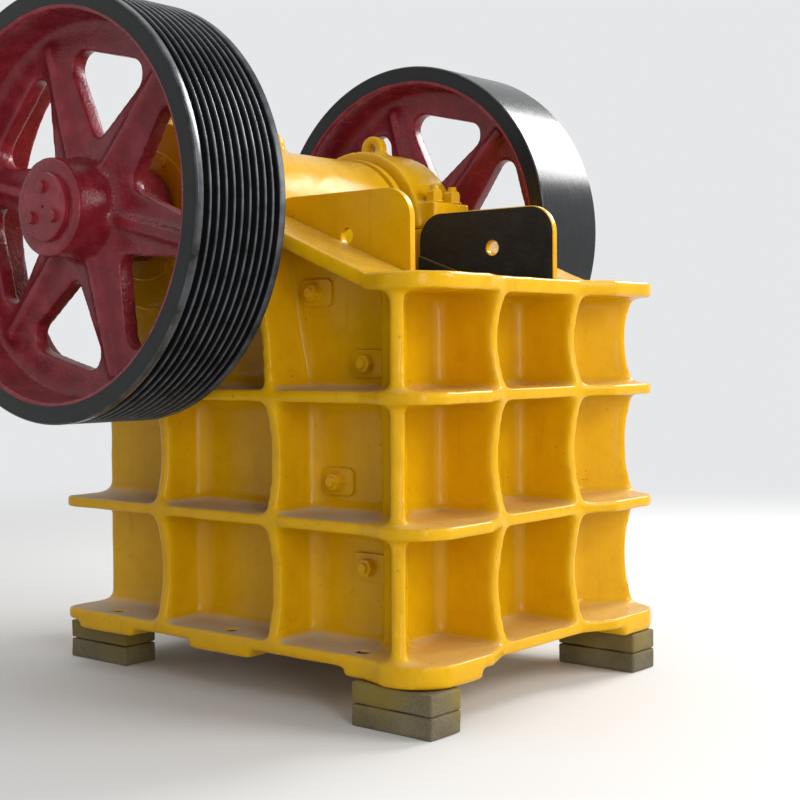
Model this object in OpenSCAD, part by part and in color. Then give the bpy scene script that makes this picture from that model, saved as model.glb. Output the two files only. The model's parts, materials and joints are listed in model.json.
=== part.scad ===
// Jaw crusher with a single toggle: a ribbed cast frame, a swing jaw that hangs
// on an eccentric shaft, a grooved drive sheave and a plain flywheel, standing on bricks.
// X runs along the shaft, the feed end faces -Y, and Z is up from the ground.
// Heights in the frame are given over its feet, and Y is given from the shaft's axis.

/* [Chamber and walls] */
// Clear width between the cheek plates
chamber_w = 600; // [560:1:620]
// Thickness of a cheek plate
cheek_t = 26; // [20:1:32]
// Thickness of a cast side wall
wall_t = 38; // [30:1:45]
// Front face of the front wall
front_y = 712; // [700:1:730]
// Thickness of the front wall
front_t = 40; // [32:1:48]
// Rear face of the rear wall
rear_y = 350; // [340:1:370]
// Thickness of the rear wall
rear_t = 40; // [32:1:45]
// Height of the rear wall
rear_h = 930; // [880:1:950]

/* [Shelves, ribs and feet] */
// Reach of the side rims from the middle plane
rim_x = 515; // [505:1:522]
// Reach of the front rim from the shaft
rim_front = 900; // [880:1:915]
// Reach of the rear rim from the shaft
rim_rear = 385; // [375:1:400]
// Radius of the rear corners of the shelves
rear_corner_r = 45; // [30:1:60]
// Sideways reach of the round front corners
lobe_x = 545; // [530:1:550]
// Forward reach of the round front corners
lobe_y = 945; // [925:1:960]
// Radius of the round front corners
lobe_r = 110; // [90:1:120]
// Thickness of a shelf
shelf_t = 30; // [24:1:36]
// Top of the lower shelf
lower_shelf_h = 370; // [340:1:390]
// Top of the upper shelf
upper_shelf_h = 679; // [650:1:700]
// Top of the front flange
top_flange_h = 955; // [930:1:970]
// Thickness of the top flange
top_flange_t = 42; // [36:1:48]
// Top of the bottom flange
base_h = 55; // [50:1:60]
// Thickness of the bottom flange between its pads
base_t = 33; // [28:1:38]
// Thickness of a rib
rib_t = 30; // [24:1:36]
// Hollow of a rib's edge between two shelves
rib_hollow = 24; // [10:1:32]
// Places of the side ribs behind and before the shaft
side_rib_y = [-20, -430];
// Place of the front one of these where it meets the sloping top flange
leaning_rib_y = -335; // [-430:1:-320]
// Place of the ribs beside the middle of the front and rear walls
end_rib_x = 175; // [160:1:190]
// Reach of the rear ribs behind the rear wall
rear_rib_reach = 30; // [20:1:34]
// Front end of the slope of the top flange
slope_front_y = 750; // [730:1:765]
// Rear end of the slope, where the bearing seat starts
slope_rear_y = 311; // [305:1:330]
// Radius of the casting's rounded inner corners
root_r = 20; // [12:1:22]
// Foundation holes: distance in from the side rim
foot_hole_in = 55; // [48:1:60]
// Foundation holes: distance from one to the next along a side
foot_hole_pitch = 445; // [440:1:450]
// Foundation holes: place of the middle pair
foot_hole_mid_y = -240; // [-250:1:-230]
// Radius of a foundation hole
foot_hole_r = 16; // [12:0.5:18]
// Length of a foot pad along the side
pad_l = 220; // [200:1:240]

/* [Guard and cheek plates] */
// Thickness of a guard plate
guard_t = 20; // [12:1:24]
// Front end of a guard plate
guard_front_y = 732; // [725:1:740]
// Rear end of a guard plate
guard_rear_y = 266; // [260:1:290]
// Top of a guard plate over the shaft's axis
guard_top = 38; // [30:1:50]
// Radius of a guard plate's top corners
guard_corner_r = 78; // [50:1:90]
// How far a guard plate reaches down inside the wall
guard_lap = 85; // [60:1:100]
// Place of the lifting hole in a guard plate, before and under the shaft
guard_hole = [-528, -73];
// Radius of that hole
guard_hole_r = 20; // [12:0.5:24]
// Joint between the upper and the lower cheek plate
cheek_split_h = 600; // [560:1:640]
// How far a cheek plate reaches behind the swing jaw's face
cheek_reach = 112; // [100:1:120]
// Cheek plate bolts: places along Y, from the top one down
cheek_bolt_y = [-463, -632, -530, -634];
// Top one of these: depth under the top of the frame
cheek_bolt_drop = 153; // [140:1:160]
// The others: height over the shelf below
cheek_bolt_rise = [63, 78, 187];
// Size of a cheek bolt's plate washer
washer_size = [104, 68, 8];
// Radius of a washer's corners
washer_corner_r = 16; // [8:1:24]
// Width of a cheek bolt's nut across its flats
cheek_nut_w = 40; // [30:1:46]

/* [Shaft and bearings] */
// Height of the shaft's axis over the feet
shaft_h = 1135; // [1125:1:1160]
// Throw of the eccentric
throw = 10; // [6:0.5:12]
// Radius of the eccentric part of the shaft
eccentric_r = 90; // [80:1:100]
// Radius of the shaft in its bearings
journal_r = 75; // [68:1:85]
// Radius of the shaft in the wheels
wheel_seat_r = 65; // [55:1:66]
// Radial clearance of a running fit
running_gap = 0.05; // [0.02:0.01:0.1]
// Outer radius of the bearing housing
housing_r = 250; // [235:1:255]
// Thickness of the bearing cap's bolting flange
cap_flange_t = 80; // [60:1:90]
// How far that flange stands back from the wall's inner face
cap_flange_in = 14; // [10:1:20]
// Half length of that flange
cap_flange_y = 297; // [285:1:300]
// Places of the cap bolts
cap_bolt_x = [378, 466];
cap_bolt_y = 268; // [264:1:275]
// Width of a cap bolt's nut across its flats
cap_nut_w = 46; // [36:1:50]
// Radius of a lifting eye
eye_r = 42; // [36:1:48]
// Radius of the hole in a lifting eye
eye_hole_r = 16; // [12:1:20]
// Thickness of a lifting eye
eye_t = 36; // [28:1:44]
// Place of the cap's lifting eye along the shaft
cap_eye_x = 420; // [390:1:450]
// Radius of the bearing's outer cover
cover_r = 172; // [150:1:190]
// Thickness of that cover
cover_t = 14; // [10:1:16]
// Bolts of that cover
cover_bolts = 6; // [4:1:8]
// Width across the flats and height of their heads
cover_bolt_w = 24; // [20:1:28]
cover_bolt_h = 7; // [5:0.5:9]
// Outer radius of the seal ring between the jaw's head and the frame
seal_r = 222; // [210:1:226]

/* [Wheels] */
// Radius of the wheels
wheel_r = 540; // [530:1:545]
// Width of the wheels
wheel_w = 291; // [285:1:295]
// Inner face of the wheels from the middle plane
wheel_in = 557; // [555:1:562]
// Radius inside the rim
rim_in_r = 482; // [470:1:490]
// Thickness of the wheel's web
web_t = 50; // [40:1:60]
// Spokes of a wheel
spokes = 6; // [5:1:6]
// Angle of the first spoke over +Y
spoke_angle = 14; // [0:1:60]
// Inner and outer end of the openings between the spokes
window_in_r = 185; // [170:1:200]
window_out_r = 405; // [390:1:415]
// Corner radii of those openings, near the hub and near the rim
window_tip_r = 26; // [18:1:30]
window_corner_r = 42; // [34:1:48]
// Spread of the outer corners of an opening
window_spread = 15; // [13:0.5:16.5]
// Width and height of the rib along a spoke
spoke_rib_w = 30; // [22:1:36]
spoke_rib_h = 25; // [18:1:30]
// Radius of the hub
hub_r = 124; // [115:1:130]
// Inner end of the hub from the middle plane
hub_in = 537; // [535:1:545]
// V-belt grooves of the drive sheave
grooves = 10; // [8:1:10]
// Pitch of the grooves
groove_pitch = 25.5; // [25:0.1:25.9]
// Width of a groove at the rim
groove_w = 21; // [18:0.5:22]
// Depth of a groove
groove_depth = 19; // [14:0.5:22]
// Width of a groove's floor
groove_floor_w = 9; // [6:0.5:11]
// Radius of the disc that holds a wheel on the shaft
end_disc_r = 86; // [80:1:95]
// Thickness of that disc
end_disc_t = 14; // [10:1:18]
// Radius of the circle of its bolts
end_bolt_circle_r = 50; // [40:1:58]
// Width across the flats and height of their heads
end_bolt_w = 30; // [24:1:34]
end_bolt_h = 12; // [8:1:14]

/* [Jaws] */
// Radius of the swing jaw's head
head_r = 225; // [215:1:228]
// Half length of the head
head_x = 285; // [280:1:286]
// Face of the fixed jaw plate, at its teeth
fixed_face_y = 592; // [580:1:600]
// Gape at the mouth
gape = 400; // [380:1:420]
// Discharge gap at the foot of the jaws
discharge = 72; // [60:1:90]
// Depth of the top of the swing jaw's face under the eccentric
jaw_top_drop = 170; // [160:1:185]
// Height of the foot of the swing jaw plate
jaw_foot_h = 135; // [120:1:150]
// Thickness of the jaw plates with their teeth
jaw_plate_t = 80; // [70:1:82]
// Height of the teeth
tooth_h = 26; // [18:1:32]
// Teeth across a jaw plate
teeth = 12; // [10:1:13]
// Width of a tooth's crest as a share of the teeth's pitch
tooth_crest = 0.24; // [0.2:0.01:0.3]
// Height of the wedge over the swing jaw plate
wedge_h = 60; // [50:1:70]
// Height of the bar under that plate
jaw_bar_h = 40; // [34:1:44]
// Side clearance of the jaws in the chamber
jaw_side_gap = 7; // [6:1:10]
// Thickness of the swing jaw's face wall
face_wall_t = 55; // [45:1:65]
// Places of the swing jaw's rear ribs, on either side
jaw_rib_x = [88, 262];
// Thickness of those ribs
jaw_rib_t = 34; // [28:1:40]
// Knee and shoulder of those ribs, from the eccentric's axis
jaw_knee = [-20, -505];
jaw_shoulder = [150, -245];
// Half height of the beam that holds the toggle seat
beam_half_h = 95; // [88:1:100]
// Place of the swing jaw's lifting eye along the shaft
head_eye_x = -40; // [-80:1:80]

/* [Toggle, rod and spring] */
// Radius of the toggle plate's round ends
toggle_end_r = 30; // [24:1:34]
// Thickness of the toggle plate
toggle_t = 36; // [28:1:44]
// Half length of the toggle plate across the frame
toggle_x = 210; // [180:1:230]
// Front end of the toggle plate: place and height
toggle_front_at = [-165, 285];
// Rear end of the toggle plate
toggle_rear_at = [130, 335];
// Gap round the toggle's front end, where the linkage is open
toggle_gap = 17; // [16:1:20]
// Clearance of parts that stand in a pocket or on each other
fit_gap = 0.3; // [0.2:0.1:0.5]
// Half height of a toggle seat, and its thickness behind the toggle's end
seat_half_h = 62; // [60:1:66]
seat_back = 48; // [40:1:50]
// Height of the adjusting block
block_h = 190; // [180:1:200]
// Thickness and height of the pack of shims
shim_l = 36; // [30:1:40]
shim_h = 170; // [150:1:180]
// Radius of the tension rod
rod_r = 18; // [14:1:22]
// Height of the rod
rod_h = 118; // [112:1:124]
// Place of the swing jaw's rod pin, with its radius
rod_pin_y = -295; // [-300:1:-280]
rod_pin_r = 18; // [15:1:20]
// Radius and thickness of the lugs that hold the pin
lug_r = 34; // [30:1:38]
lug_t = 26; // [20:1:30]
// Inner and outer radius of the rod's eye
rod_eye_in_r = 38; // [37:1:42]
rod_eye_r = 56; // [52:1:60]
// Rear end of the rod
rod_end_y = 700; // [680:1:720]
// Coil radius, wire radius and turns of the spring
spring_r = 44; // [40:1:48]
spring_wire_r = 9; // [7:0.5:10]
spring_turns = 7; // [5:0.5:8]
// Length of the spring
spring_l = 220; // [200:1:230]
// Thickness of its seats
spring_seat_t = 16; // [12:1:20]
// Width of the rod's nuts across their corners, and their thicknesses
rod_nut_w = 64; // [56:1:68]
rod_nut_t = 26; // [22:1:28]
lock_nut_t = 18; // [14:1:20]

/* [Bricks] */
// Length, width and height of a brick
brick = [240, 115, 53];
// Clearance of the bricks from the foundation holes
brick_gap = 4; // [3:1:12]
// Left sides of the two front stacks of bricks
front_brick_x = [-530, 365];

/* [Hidden] */
$fn = 96;

left = -1;
right = 1;
yellow = "#d9a514";
crimson = "#7c1c28";
black = "#1b1b1d";
steel = "#8d8f92";
manganese = "#4c4a47";
brick_colour = "#b3a88c";

lap = 1;                                        // how far fused solids reach into each other
far = 3000;                                     // larger than the machine
wall_in = chamber_w / 2 + cheek_t;
wall_out = wall_in + wall_t;
brick_stack_h = 2 * brick.z;
shaft_y = (lobe_y - rod_end_y) / 2;             // puts the middle of the length at the origin
front_in = front_y - front_t;
rear_in = rear_y - rear_t;
housing_x = rim_x;
cell_floor = [base_h, lower_shelf_h, upper_shelf_h];
cell_roof = [lower_shelf_h - shelf_t, upper_shelf_h - shelf_t];
corner_rib_end = [rim_x + 10, front_y + 138];
pad_t = base_h - base_t;
foot_hole_x = rim_x - foot_hole_in;
foot_hole_y = [foot_hole_mid_y - foot_hole_pitch, foot_hole_mid_y, foot_hole_mid_y + foot_hole_pitch];
seat_slope = (shaft_h - top_flange_h) / (slope_front_y - slope_rear_y);

// Height of the top of the frame at a place along the side
function top_at(y) = min(shaft_h, max(top_flange_h, top_flange_h + (slope_front_y + y) * seat_slope));

// Swing jaw: its face line runs from the mouth down to the foot, at rest
eccentric_at = [0, shaft_h - throw];
face_top = [gape - fixed_face_y, eccentric_at.y - jaw_top_drop];
face_foot = [discharge - fixed_face_y, jaw_foot_h];
face_dir = (face_foot - face_top) / norm(face_foot - face_top);
face_back = [-face_dir.y, face_dir.x];
function on_face(down, back) = face_top + down * face_dir + back * face_back;
function face_y(h) = face_top.x + (face_top.y - h) / (face_top.y - face_foot.y) * (face_foot.x - face_top.x);
face_l = norm(face_foot - face_top);
face_tilt = atan2(face_dir.x, -face_dir.y);
jaw_half_w = chamber_w / 2 - jaw_side_gap;

module on_feet() translate([0, shaft_y, brick_stack_h]) children();
module at_shaft() on_feet() translate([0, 0, shaft_h]) children();
module on_side(side) {
    if (side < 0) mirror([1, 0, 0]) children();
    else children();
}
// Draws a profile of the Y-Z plane and extrudes it along X
module along_x(x0, x1) translate([x0, 0, 0]) rotate([90, 0, 90]) linear_extrude(x1 - x0) children();
// Draws a profile of the X-Z plane and extrudes it along Y, evenly about its middle
module across_y(y, t) translate([0, y + t / 2, 0]) rotate([90, 0, 0]) linear_extrude(t) children();
module bar_x(r, x0, x1) translate([x0, 0, 0]) rotate([0, 90, 0]) cylinder(r = r, h = x1 - x0);
module hexagon(w, h) cylinder(r = w / 2 / cos(30), h = h, $fn = 6);

// Frame

// Plan of a shelf: straight rims, round rear corners and round lobes at the front corners
module shelf_plan() {
    translate([-rim_x, -rim_front]) square([2 * rim_x, rim_front + rim_rear - rear_corner_r]);
    translate([rear_corner_r - rim_x, 0]) square([2 * (rim_x - rear_corner_r), rim_rear]);
    for (side = [left, right]) on_side(side) {
        translate([rim_x - rear_corner_r, rim_rear - rear_corner_r]) circle(rear_corner_r);
        translate([lobe_x - lobe_r, lobe_r - lobe_y]) circle(lobe_r);
        polygon([[lobe_x - lobe_r, -lobe_y], [lobe_x - lobe_r, lobe_r - lobe_y],
                 [end_rib_x, lobe_r - lobe_y], [end_rib_x, -rim_front],
                 [end_rib_x + lobe_r, -lobe_y]]);
        polygon([[lobe_x, lobe_r - lobe_y], [lobe_x - lobe_r, lobe_r - lobe_y],
                 [lobe_x - lobe_r, 2 * lobe_r - lobe_y], [rim_x, 2 * lobe_r - lobe_y]]);
    }
}
module side_plan() intersection() {
    shelf_plan();
    translate([wall_in, -far]) square(2 * far);
}
module end_plan(y0, y1) intersection() {
    shelf_plan();
    translate([-wall_in, y0]) square([2 * wall_in, y1 - y0]);
}
// Edge of a rib between two shelves: it reaches the rims at both and is hollow between them
module rib_profile(inner, outer, floor_h, roof_h) {
    h = roof_h - floor_h;
    hollow_r = (h * h / 4 + rib_hollow * rib_hollow) / 2 / rib_hollow;
    difference() {
        translate([inner, floor_h - shelf_t / 2]) square([outer - inner, h + shelf_t]);
        translate([outer + hollow_r - rib_hollow, (floor_h + roof_h) / 2]) circle(hollow_r, $fn = 240);
    }
}
// Face of a rib seen from outside: it widens with a round root where it meets a shelf
module rib_face(floor_h, roof_h) difference() {
    translate([-rib_t / 2 - root_r + lap, floor_h - shelf_t / 2 - lap])
        square([rib_t + 2 * (root_r - lap), roof_h - floor_h + shelf_t + 2 * lap]);
    for (side = [left, right]) translate([side * (rib_t / 2 + root_r), 0]) {
        for (h = [floor_h + root_r, roof_h - root_r]) translate([0, h]) circle(root_r);
        translate([-root_r, floor_h + root_r]) square([2 * root_r, roof_h - floor_h - 2 * root_r]);
    }
}
// A rib through all three tiers of cells, or through the lower ones, up to the top flange
module rib(inner, outer, roof_h, tiers = 3, flared = true) for (tier = [0 : tiers - 1]) {
    floor_h = cell_floor[tier];
    cell_top = tier < 2 ? cell_roof[tier] : roof_h - top_flange_t;
    if (!flared) across_y(0, rib_t) rib_profile(inner, outer, floor_h, cell_top);
    else intersection() {
        across_y(0, rib_t + 2 * root_r) rib_profile(inner, outer, floor_h, cell_top);
        along_x(inner - lap, outer + lap) rib_face(floor_h, cell_top);
    }
}
// Hollow quarter round that fills an inner corner, drawn with the corner at the origin
module root() translate([-lap, -lap]) difference() {
    square(root_r + lap);
    translate([root_r + lap, root_r + lap]) circle(root_r);
}
// Roots along both sides of a rib, where it meets its wall
module rib_roots(wall, roof_h) for (k = [0, 1]) mirror([0, k, 0])
    translate([wall, rib_t / 2, base_h - lap]) linear_extrude(roof_h - base_h) root();
// Roots along a wall over and under the shelves, from y0 to y1
module shelf_roots(wall, y0, y1, heights_over, heights_under) {
    for (h = heights_over) translate([wall, y1, h]) rotate([90, 0, 0]) linear_extrude(y1 - y0) root();
    for (h = heights_under) translate([wall, y1, h]) rotate([90, 0, 0]) linear_extrude(y1 - y0)
        mirror([0, 1]) root();
}
module top_band() polygon([
    [-far, top_flange_h], [-slope_front_y, top_flange_h], [-slope_rear_y, shaft_h], [far, shaft_h],
    [far, shaft_h - top_flange_t], [-slope_rear_y, shaft_h - top_flange_t],
    [-slope_front_y, top_flange_h - top_flange_t], [-far, top_flange_h - top_flange_t]]);
module side_wall_profile() polygon([
    [-front_y, pad_t], [-front_y, top_at(-front_y)], [-slope_rear_y, shaft_h],
    [rear_y, shaft_h], [rear_y, pad_t]]);
module foot_pads() {
    for (y = [foot_hole_y[1], foot_hole_y[2]]) translate([0, y - pad_l / 2]) square([far, pad_l]);
    translate([0, -far]) square([far, far + foot_hole_y[0] + foot_hole_r + lap]);
}
module side_wall(side) color(yellow) on_feet() on_side(side) difference() {
    union() {
        along_x(wall_in, wall_out) side_wall_profile();
        intersection() {
            along_x(wall_in, lobe_x + lap) top_band();
            linear_extrude(shaft_h) side_plan();
        }
        for (h = [lower_shelf_h, upper_shelf_h])
            translate([0, 0, h - shelf_t]) linear_extrude(shelf_t) side_plan();
        translate([0, 0, pad_t]) linear_extrude(base_t) side_plan();
        linear_extrude(pad_t + lap) intersection() {
            side_plan();
            foot_pads();
        }
        translate([0, side_rib_y[0], 0]) {
            rib(wall_out - lap, rim_x, shaft_h);
            rib_roots(wall_out, shaft_h - 0.95 * housing_r);
        }
        translate([0, side_rib_y[1], 0]) {
            rib(wall_out - lap, rim_x, 0, 2);
            rib_roots(wall_out, upper_shelf_h);
        }
        shelf_roots(wall_out, -front_y, rear_y, cell_floor, cell_roof);
        rotate([0, 0, -90]) shelf_roots(front_y, wall_in, wall_out, cell_floor,
            concat(cell_roof, [top_flange_h - top_flange_t]));
        leaning_rib();
        corner_rib();
        intersection() {
            translate([0, 0, shaft_h]) bar_x(housing_r, wall_in, housing_x);
            translate([0, -far, 0]) cube([far, 2 * far, shaft_h]);
        }
    }
    translate([0, 0, shaft_h]) bar_x(journal_r + running_gap, 0, far);
    for (y = foot_hole_y) translate([foot_hole_x, y, -lap]) cylinder(r = foot_hole_r, h = base_h + 2 * lap);
}
// In the upper tier the front rib leans back to the top of the slope
module leaning_rib() {
    foot = [side_rib_y[1], upper_shelf_h - shelf_t / 2];
    head = [leaning_rib_y, top_at(leaning_rib_y) - top_flange_t + shelf_t / 2];
    intersection() {
        along_x(wall_out - lap, rim_x) polygon([
            foot - [rib_t / 2, 0], foot + [rib_t / 2, 0], head + [rib_t / 2, 0], head - [rib_t / 2, 0]]);
        across_y((foot.x + head.x) / 2, housing_r) rib_profile(wall_out - lap, rim_x, upper_shelf_h,
            top_at(leaning_rib_y) - top_flange_t);
    }
}
// The rib on the corner of the box points out at the round corner of the shelves
module corner_rib() {
    reach = corner_rib_end - [wall_out, front_y];
    translate([wall_out, -front_y, 0]) rotate([0, 0, -atan2(reach.y, reach.x)])
        rib(-rib_t / 2, norm(reach), top_flange_h, flared = false);
}
// Ribs of the front wall; mirrored, they are those of the rear wall
module end_ribs(inner, outer, roof_h) for (x = [-end_rib_x, end_rib_x])
    translate([x, 0, 0]) rotate([0, 0, -90]) rib(inner, outer, roof_h);
module front_wall() color(yellow) on_feet() union() {
    translate([-wall_in, -front_y, pad_t]) cube([2 * wall_in, front_t, top_flange_h - pad_t]);
    translate([0, 0, top_flange_h - top_flange_t]) linear_extrude(top_flange_t) end_plan(-far, -front_in);
    for (h = [base_h, lower_shelf_h, upper_shelf_h])
        translate([0, 0, h - shelf_t]) linear_extrude(shelf_t) end_plan(-far, -front_in);
    end_ribs(front_y - lap, rim_front, top_flange_h);
    for (x = [-end_rib_x, end_rib_x]) translate([x, 0, 0]) rotate([0, 0, -90]) rib_roots(front_y, top_flange_h);
    rotate([0, 0, -90]) shelf_roots(front_y, -wall_in, wall_in, cell_floor,
        concat(cell_roof, [top_flange_h - top_flange_t]));
    // ledge that the fixed jaw plate stands on
    translate([-wall_in, -front_in - lap, base_h - shelf_t]) cube([2 * wall_in, jaw_plate_t - tooth_h, shelf_t]);
}
module rear_wall() color(yellow) on_feet() difference() {
    union() {
        translate([-wall_in, rear_in, pad_t]) cube([2 * wall_in, rear_t, rear_h - pad_t]);
        for (h = [base_h, lower_shelf_h, upper_shelf_h, rear_h])
            translate([0, 0, h - shelf_t]) linear_extrude(shelf_t) end_plan(rear_in, far);
        mirror([0, 1, 0]) end_ribs(rear_y - lap, rear_y + rear_rib_reach, rear_h);
        toggle_ledge();
    }
    translate([0, 0, rod_h]) rotate([-90, 0, 0]) cylinder(r = 2 * rod_r, h = far);
}
// Inner ledge that carries the adjusting block, on three gussets
ledge_front_y = toggle_rear_at.x - toggle_end_r + 20;
block_foot_h = toggle_rear_at.y - block_h / 2;
module toggle_ledge() {
    translate([-wall_in, ledge_front_y, block_foot_h - rib_t])
        cube([2 * wall_in, rear_in - ledge_front_y + lap, rib_t]);
    for (x = [-wall_in, -rib_t / 2 - end_rib_x, end_rib_x - rib_t / 2, wall_in - rib_t])
        along_x(x, x + rib_t) polygon([[ledge_front_y, block_foot_h - rib_t + lap],
            [rear_in + lap, block_foot_h - rib_t + lap], [rear_in + lap, base_h]]);
}

// Bearings

module lifting_eye(seat_r, x) translate([x - eye_t / 2, 0, 0]) {
    bar_x(eye_r, 0, eye_t);
    translate([0, -eye_r, -seat_r / 4]) cube([eye_t, 2 * eye_r, seat_r / 4]);
}
module bearing_cap(side) color(yellow) at_shaft() on_side(side) difference() {
    union() {
        intersection() {
            bar_x(housing_r, wall_in, housing_x);
            translate([0, -far, 0]) cube(2 * far);
        }
        translate([wall_in + cap_flange_in, -cap_flange_y, 0])
            cube([housing_x - wall_in - cap_flange_in, 2 * cap_flange_y, cap_flange_t]);
        translate([0, 0, housing_r + eye_r / 3]) lifting_eye(housing_r, cap_eye_x);
    }
    bar_x(journal_r + running_gap, 0, far);
    translate([0, 0, housing_r + eye_r / 3]) bar_x(eye_hole_r, 0, far);
}
module cap_bolts(side) color(yellow) at_shaft() on_side(side)
    for (x = cap_bolt_x, y = [-cap_bolt_y, cap_bolt_y]) translate([x, y, cap_flange_t]) {
        hexagon(cap_nut_w, cap_nut_w * 0.8);
        cylinder(r = cap_nut_w * 0.32, h = cap_nut_w * 1.1);
    }
module bearing_cover(side) color(yellow) at_shaft() on_side(side) difference() {
    union() {
        bar_x(cover_r, housing_x, housing_x + cover_t);
        for (k = [1 : cover_bolts]) rotate([360 / cover_bolts * (k - 0.5), 0, 0])
            translate([housing_x + cover_t, 0, cover_r - cover_bolt_w * 0.85]) rotate([0, 90, 0])
                hexagon(cover_bolt_w, cover_bolt_h);
    }
    bar_x(journal_r + 6, 0, far);
}
module seal_ring(side) color(yellow) at_shaft() on_side(side) difference() {
    union() {
        bar_x(seal_r, head_x + 6, wall_in - 10);
        bar_x(seal_r - 18, head_x + 7, wall_in);
    }
    bar_x(journal_r + 7, 0, far);
}

// Rotor

module eccentric_shaft() color(steel) at_shaft() union() {
    translate([0, 0, -throw]) bar_x(eccentric_r, -head_x, head_x);
    bar_x(journal_r, -housing_x - cover_t - 4, housing_x + cover_t + 4);
    bar_x(wheel_seat_r, -wheel_in - wheel_w, wheel_in + wheel_w);
}
// Points where a line touches two circles on their outer side
function touch(a, ra, b, rb) =
    let(d = norm(b - a), u = (b - a) / d, k = (ra - rb) / d,
        n = k * u + sqrt(1 - k * k) * [u.y, -u.x])
    [a + ra * n, b + rb * n];
module rounded_triangle(a, ra, b, rb, c, rc) {
    translate(a) circle(ra);
    translate(b) circle(rb);
    translate(c) circle(rc);
    polygon(concat(touch(a, ra, b, rb), touch(b, rb, c, rc), touch(c, rc, a, ra)));
}
module window() rounded_triangle(
    [window_in_r + window_tip_r, 0], window_tip_r,
    (window_out_r - window_corner_r) * [cos(window_spread), -sin(window_spread)], window_corner_r,
    (window_out_r - window_corner_r) * [cos(window_spread), sin(window_spread)], window_corner_r);
// Web, spoke ribs and hub, for a wheel on the +X side; Y-Z is drawn as the plane of the web
module wheel_core() {
    web_x = wheel_in + wheel_w / 2 - web_t / 2;
    along_x(web_x, web_x + web_t) difference() {
        circle(rim_in_r + lap);
        for (k = [1 : spokes]) rotate(spoke_angle + 360 / spokes * (k - 0.5)) window();
    }
    along_x(web_x - spoke_rib_h, web_x + web_t + spoke_rib_h)
        for (k = [1 : spokes]) rotate(spoke_angle + 360 / spokes * k)
            translate([hub_r - lap, -spoke_rib_w / 2]) square([window_out_r - hub_r + 40, spoke_rib_w]);
    bar_x(hub_r, hub_in, wheel_in + wheel_w);
}
module rim_ring() difference() {
    bar_x(wheel_r, wheel_in, wheel_in + wheel_w);
    bar_x(rim_in_r, 0, far);
}
// One belt groove as a ring with a V section
module groove() rotate([0, 90, 0]) rotate_extrude($fn = 180) polygon([
    [wheel_r - groove_depth, -groove_floor_w / 2], [wheel_r + lap, -groove_w / 2],
    [wheel_r + lap, groove_w / 2], [wheel_r - groove_depth, groove_floor_w / 2]]);
module drive_sheave() color(crimson) at_shaft() on_side(left) difference() {
    union() {
        rim_ring();
        wheel_core();
    }
    for (k = [1 : grooves])
        translate([wheel_in + wheel_w / 2 + (k - (grooves + 1) / 2) * groove_pitch, 0, 0]) groove();
    bar_x(wheel_seat_r + running_gap, 0, far);
}
module flywheel() color(crimson) at_shaft() difference() {
    union() {
        rim_ring();
        wheel_core();
    }
    bar_x(wheel_seat_r + running_gap, 0, far);
}
module end_disc(side) color(crimson) at_shaft() on_side(side) translate([wheel_in + wheel_w, 0, 0]) {
    bar_x(end_disc_r, 0, end_disc_t);
    for (angle = [90, 210, 330]) rotate([angle - 90, 0, 0])
        translate([end_disc_t - lap, 0, end_bolt_circle_r]) rotate([0, 90, 0]) hexagon(end_bolt_w, end_bolt_h + lap);
}

// Jaws

// Ribbed plate with teeth: X across, Y out of the back, Z up from its foot
module toothed_plate(l) {
    pitch = 2 * jaw_half_w / teeth;
    linear_extrude(l) polygon(concat(
        [[-jaw_half_w, tooth_h], [-jaw_half_w, jaw_plate_t], [jaw_half_w, jaw_plate_t], [jaw_half_w, tooth_h]],
        [for (k = [teeth - 1 : -1 : 0]) each [
            [-jaw_half_w + (k + 0.5 + tooth_crest / 2) * pitch, 0],
            [-jaw_half_w + (k + 0.5 - tooth_crest / 2) * pitch, 0],
            if (k > 0) [-jaw_half_w + k * pitch, tooth_h]]]));
}
module fixed_jaw_plate() color(manganese) on_feet() translate([0, -fixed_face_y, base_h])
    mirror([0, 1, 0]) toothed_plate(top_flange_h - base_h);
module in_face_frame() translate([0, face_foot.x, face_foot.y]) rotate([face_tilt, 0, 0]) children();
module swing_jaw_plate() color(manganese) on_feet() in_face_frame() toothed_plate(face_l - wedge_h);

// Outline of the casting behind the jaw plate, seen from the side
jaw_wall_top = on_face(-70, jaw_plate_t);
jaw_wall_foot = on_face(face_l + jaw_bar_h, jaw_plate_t);
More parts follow.
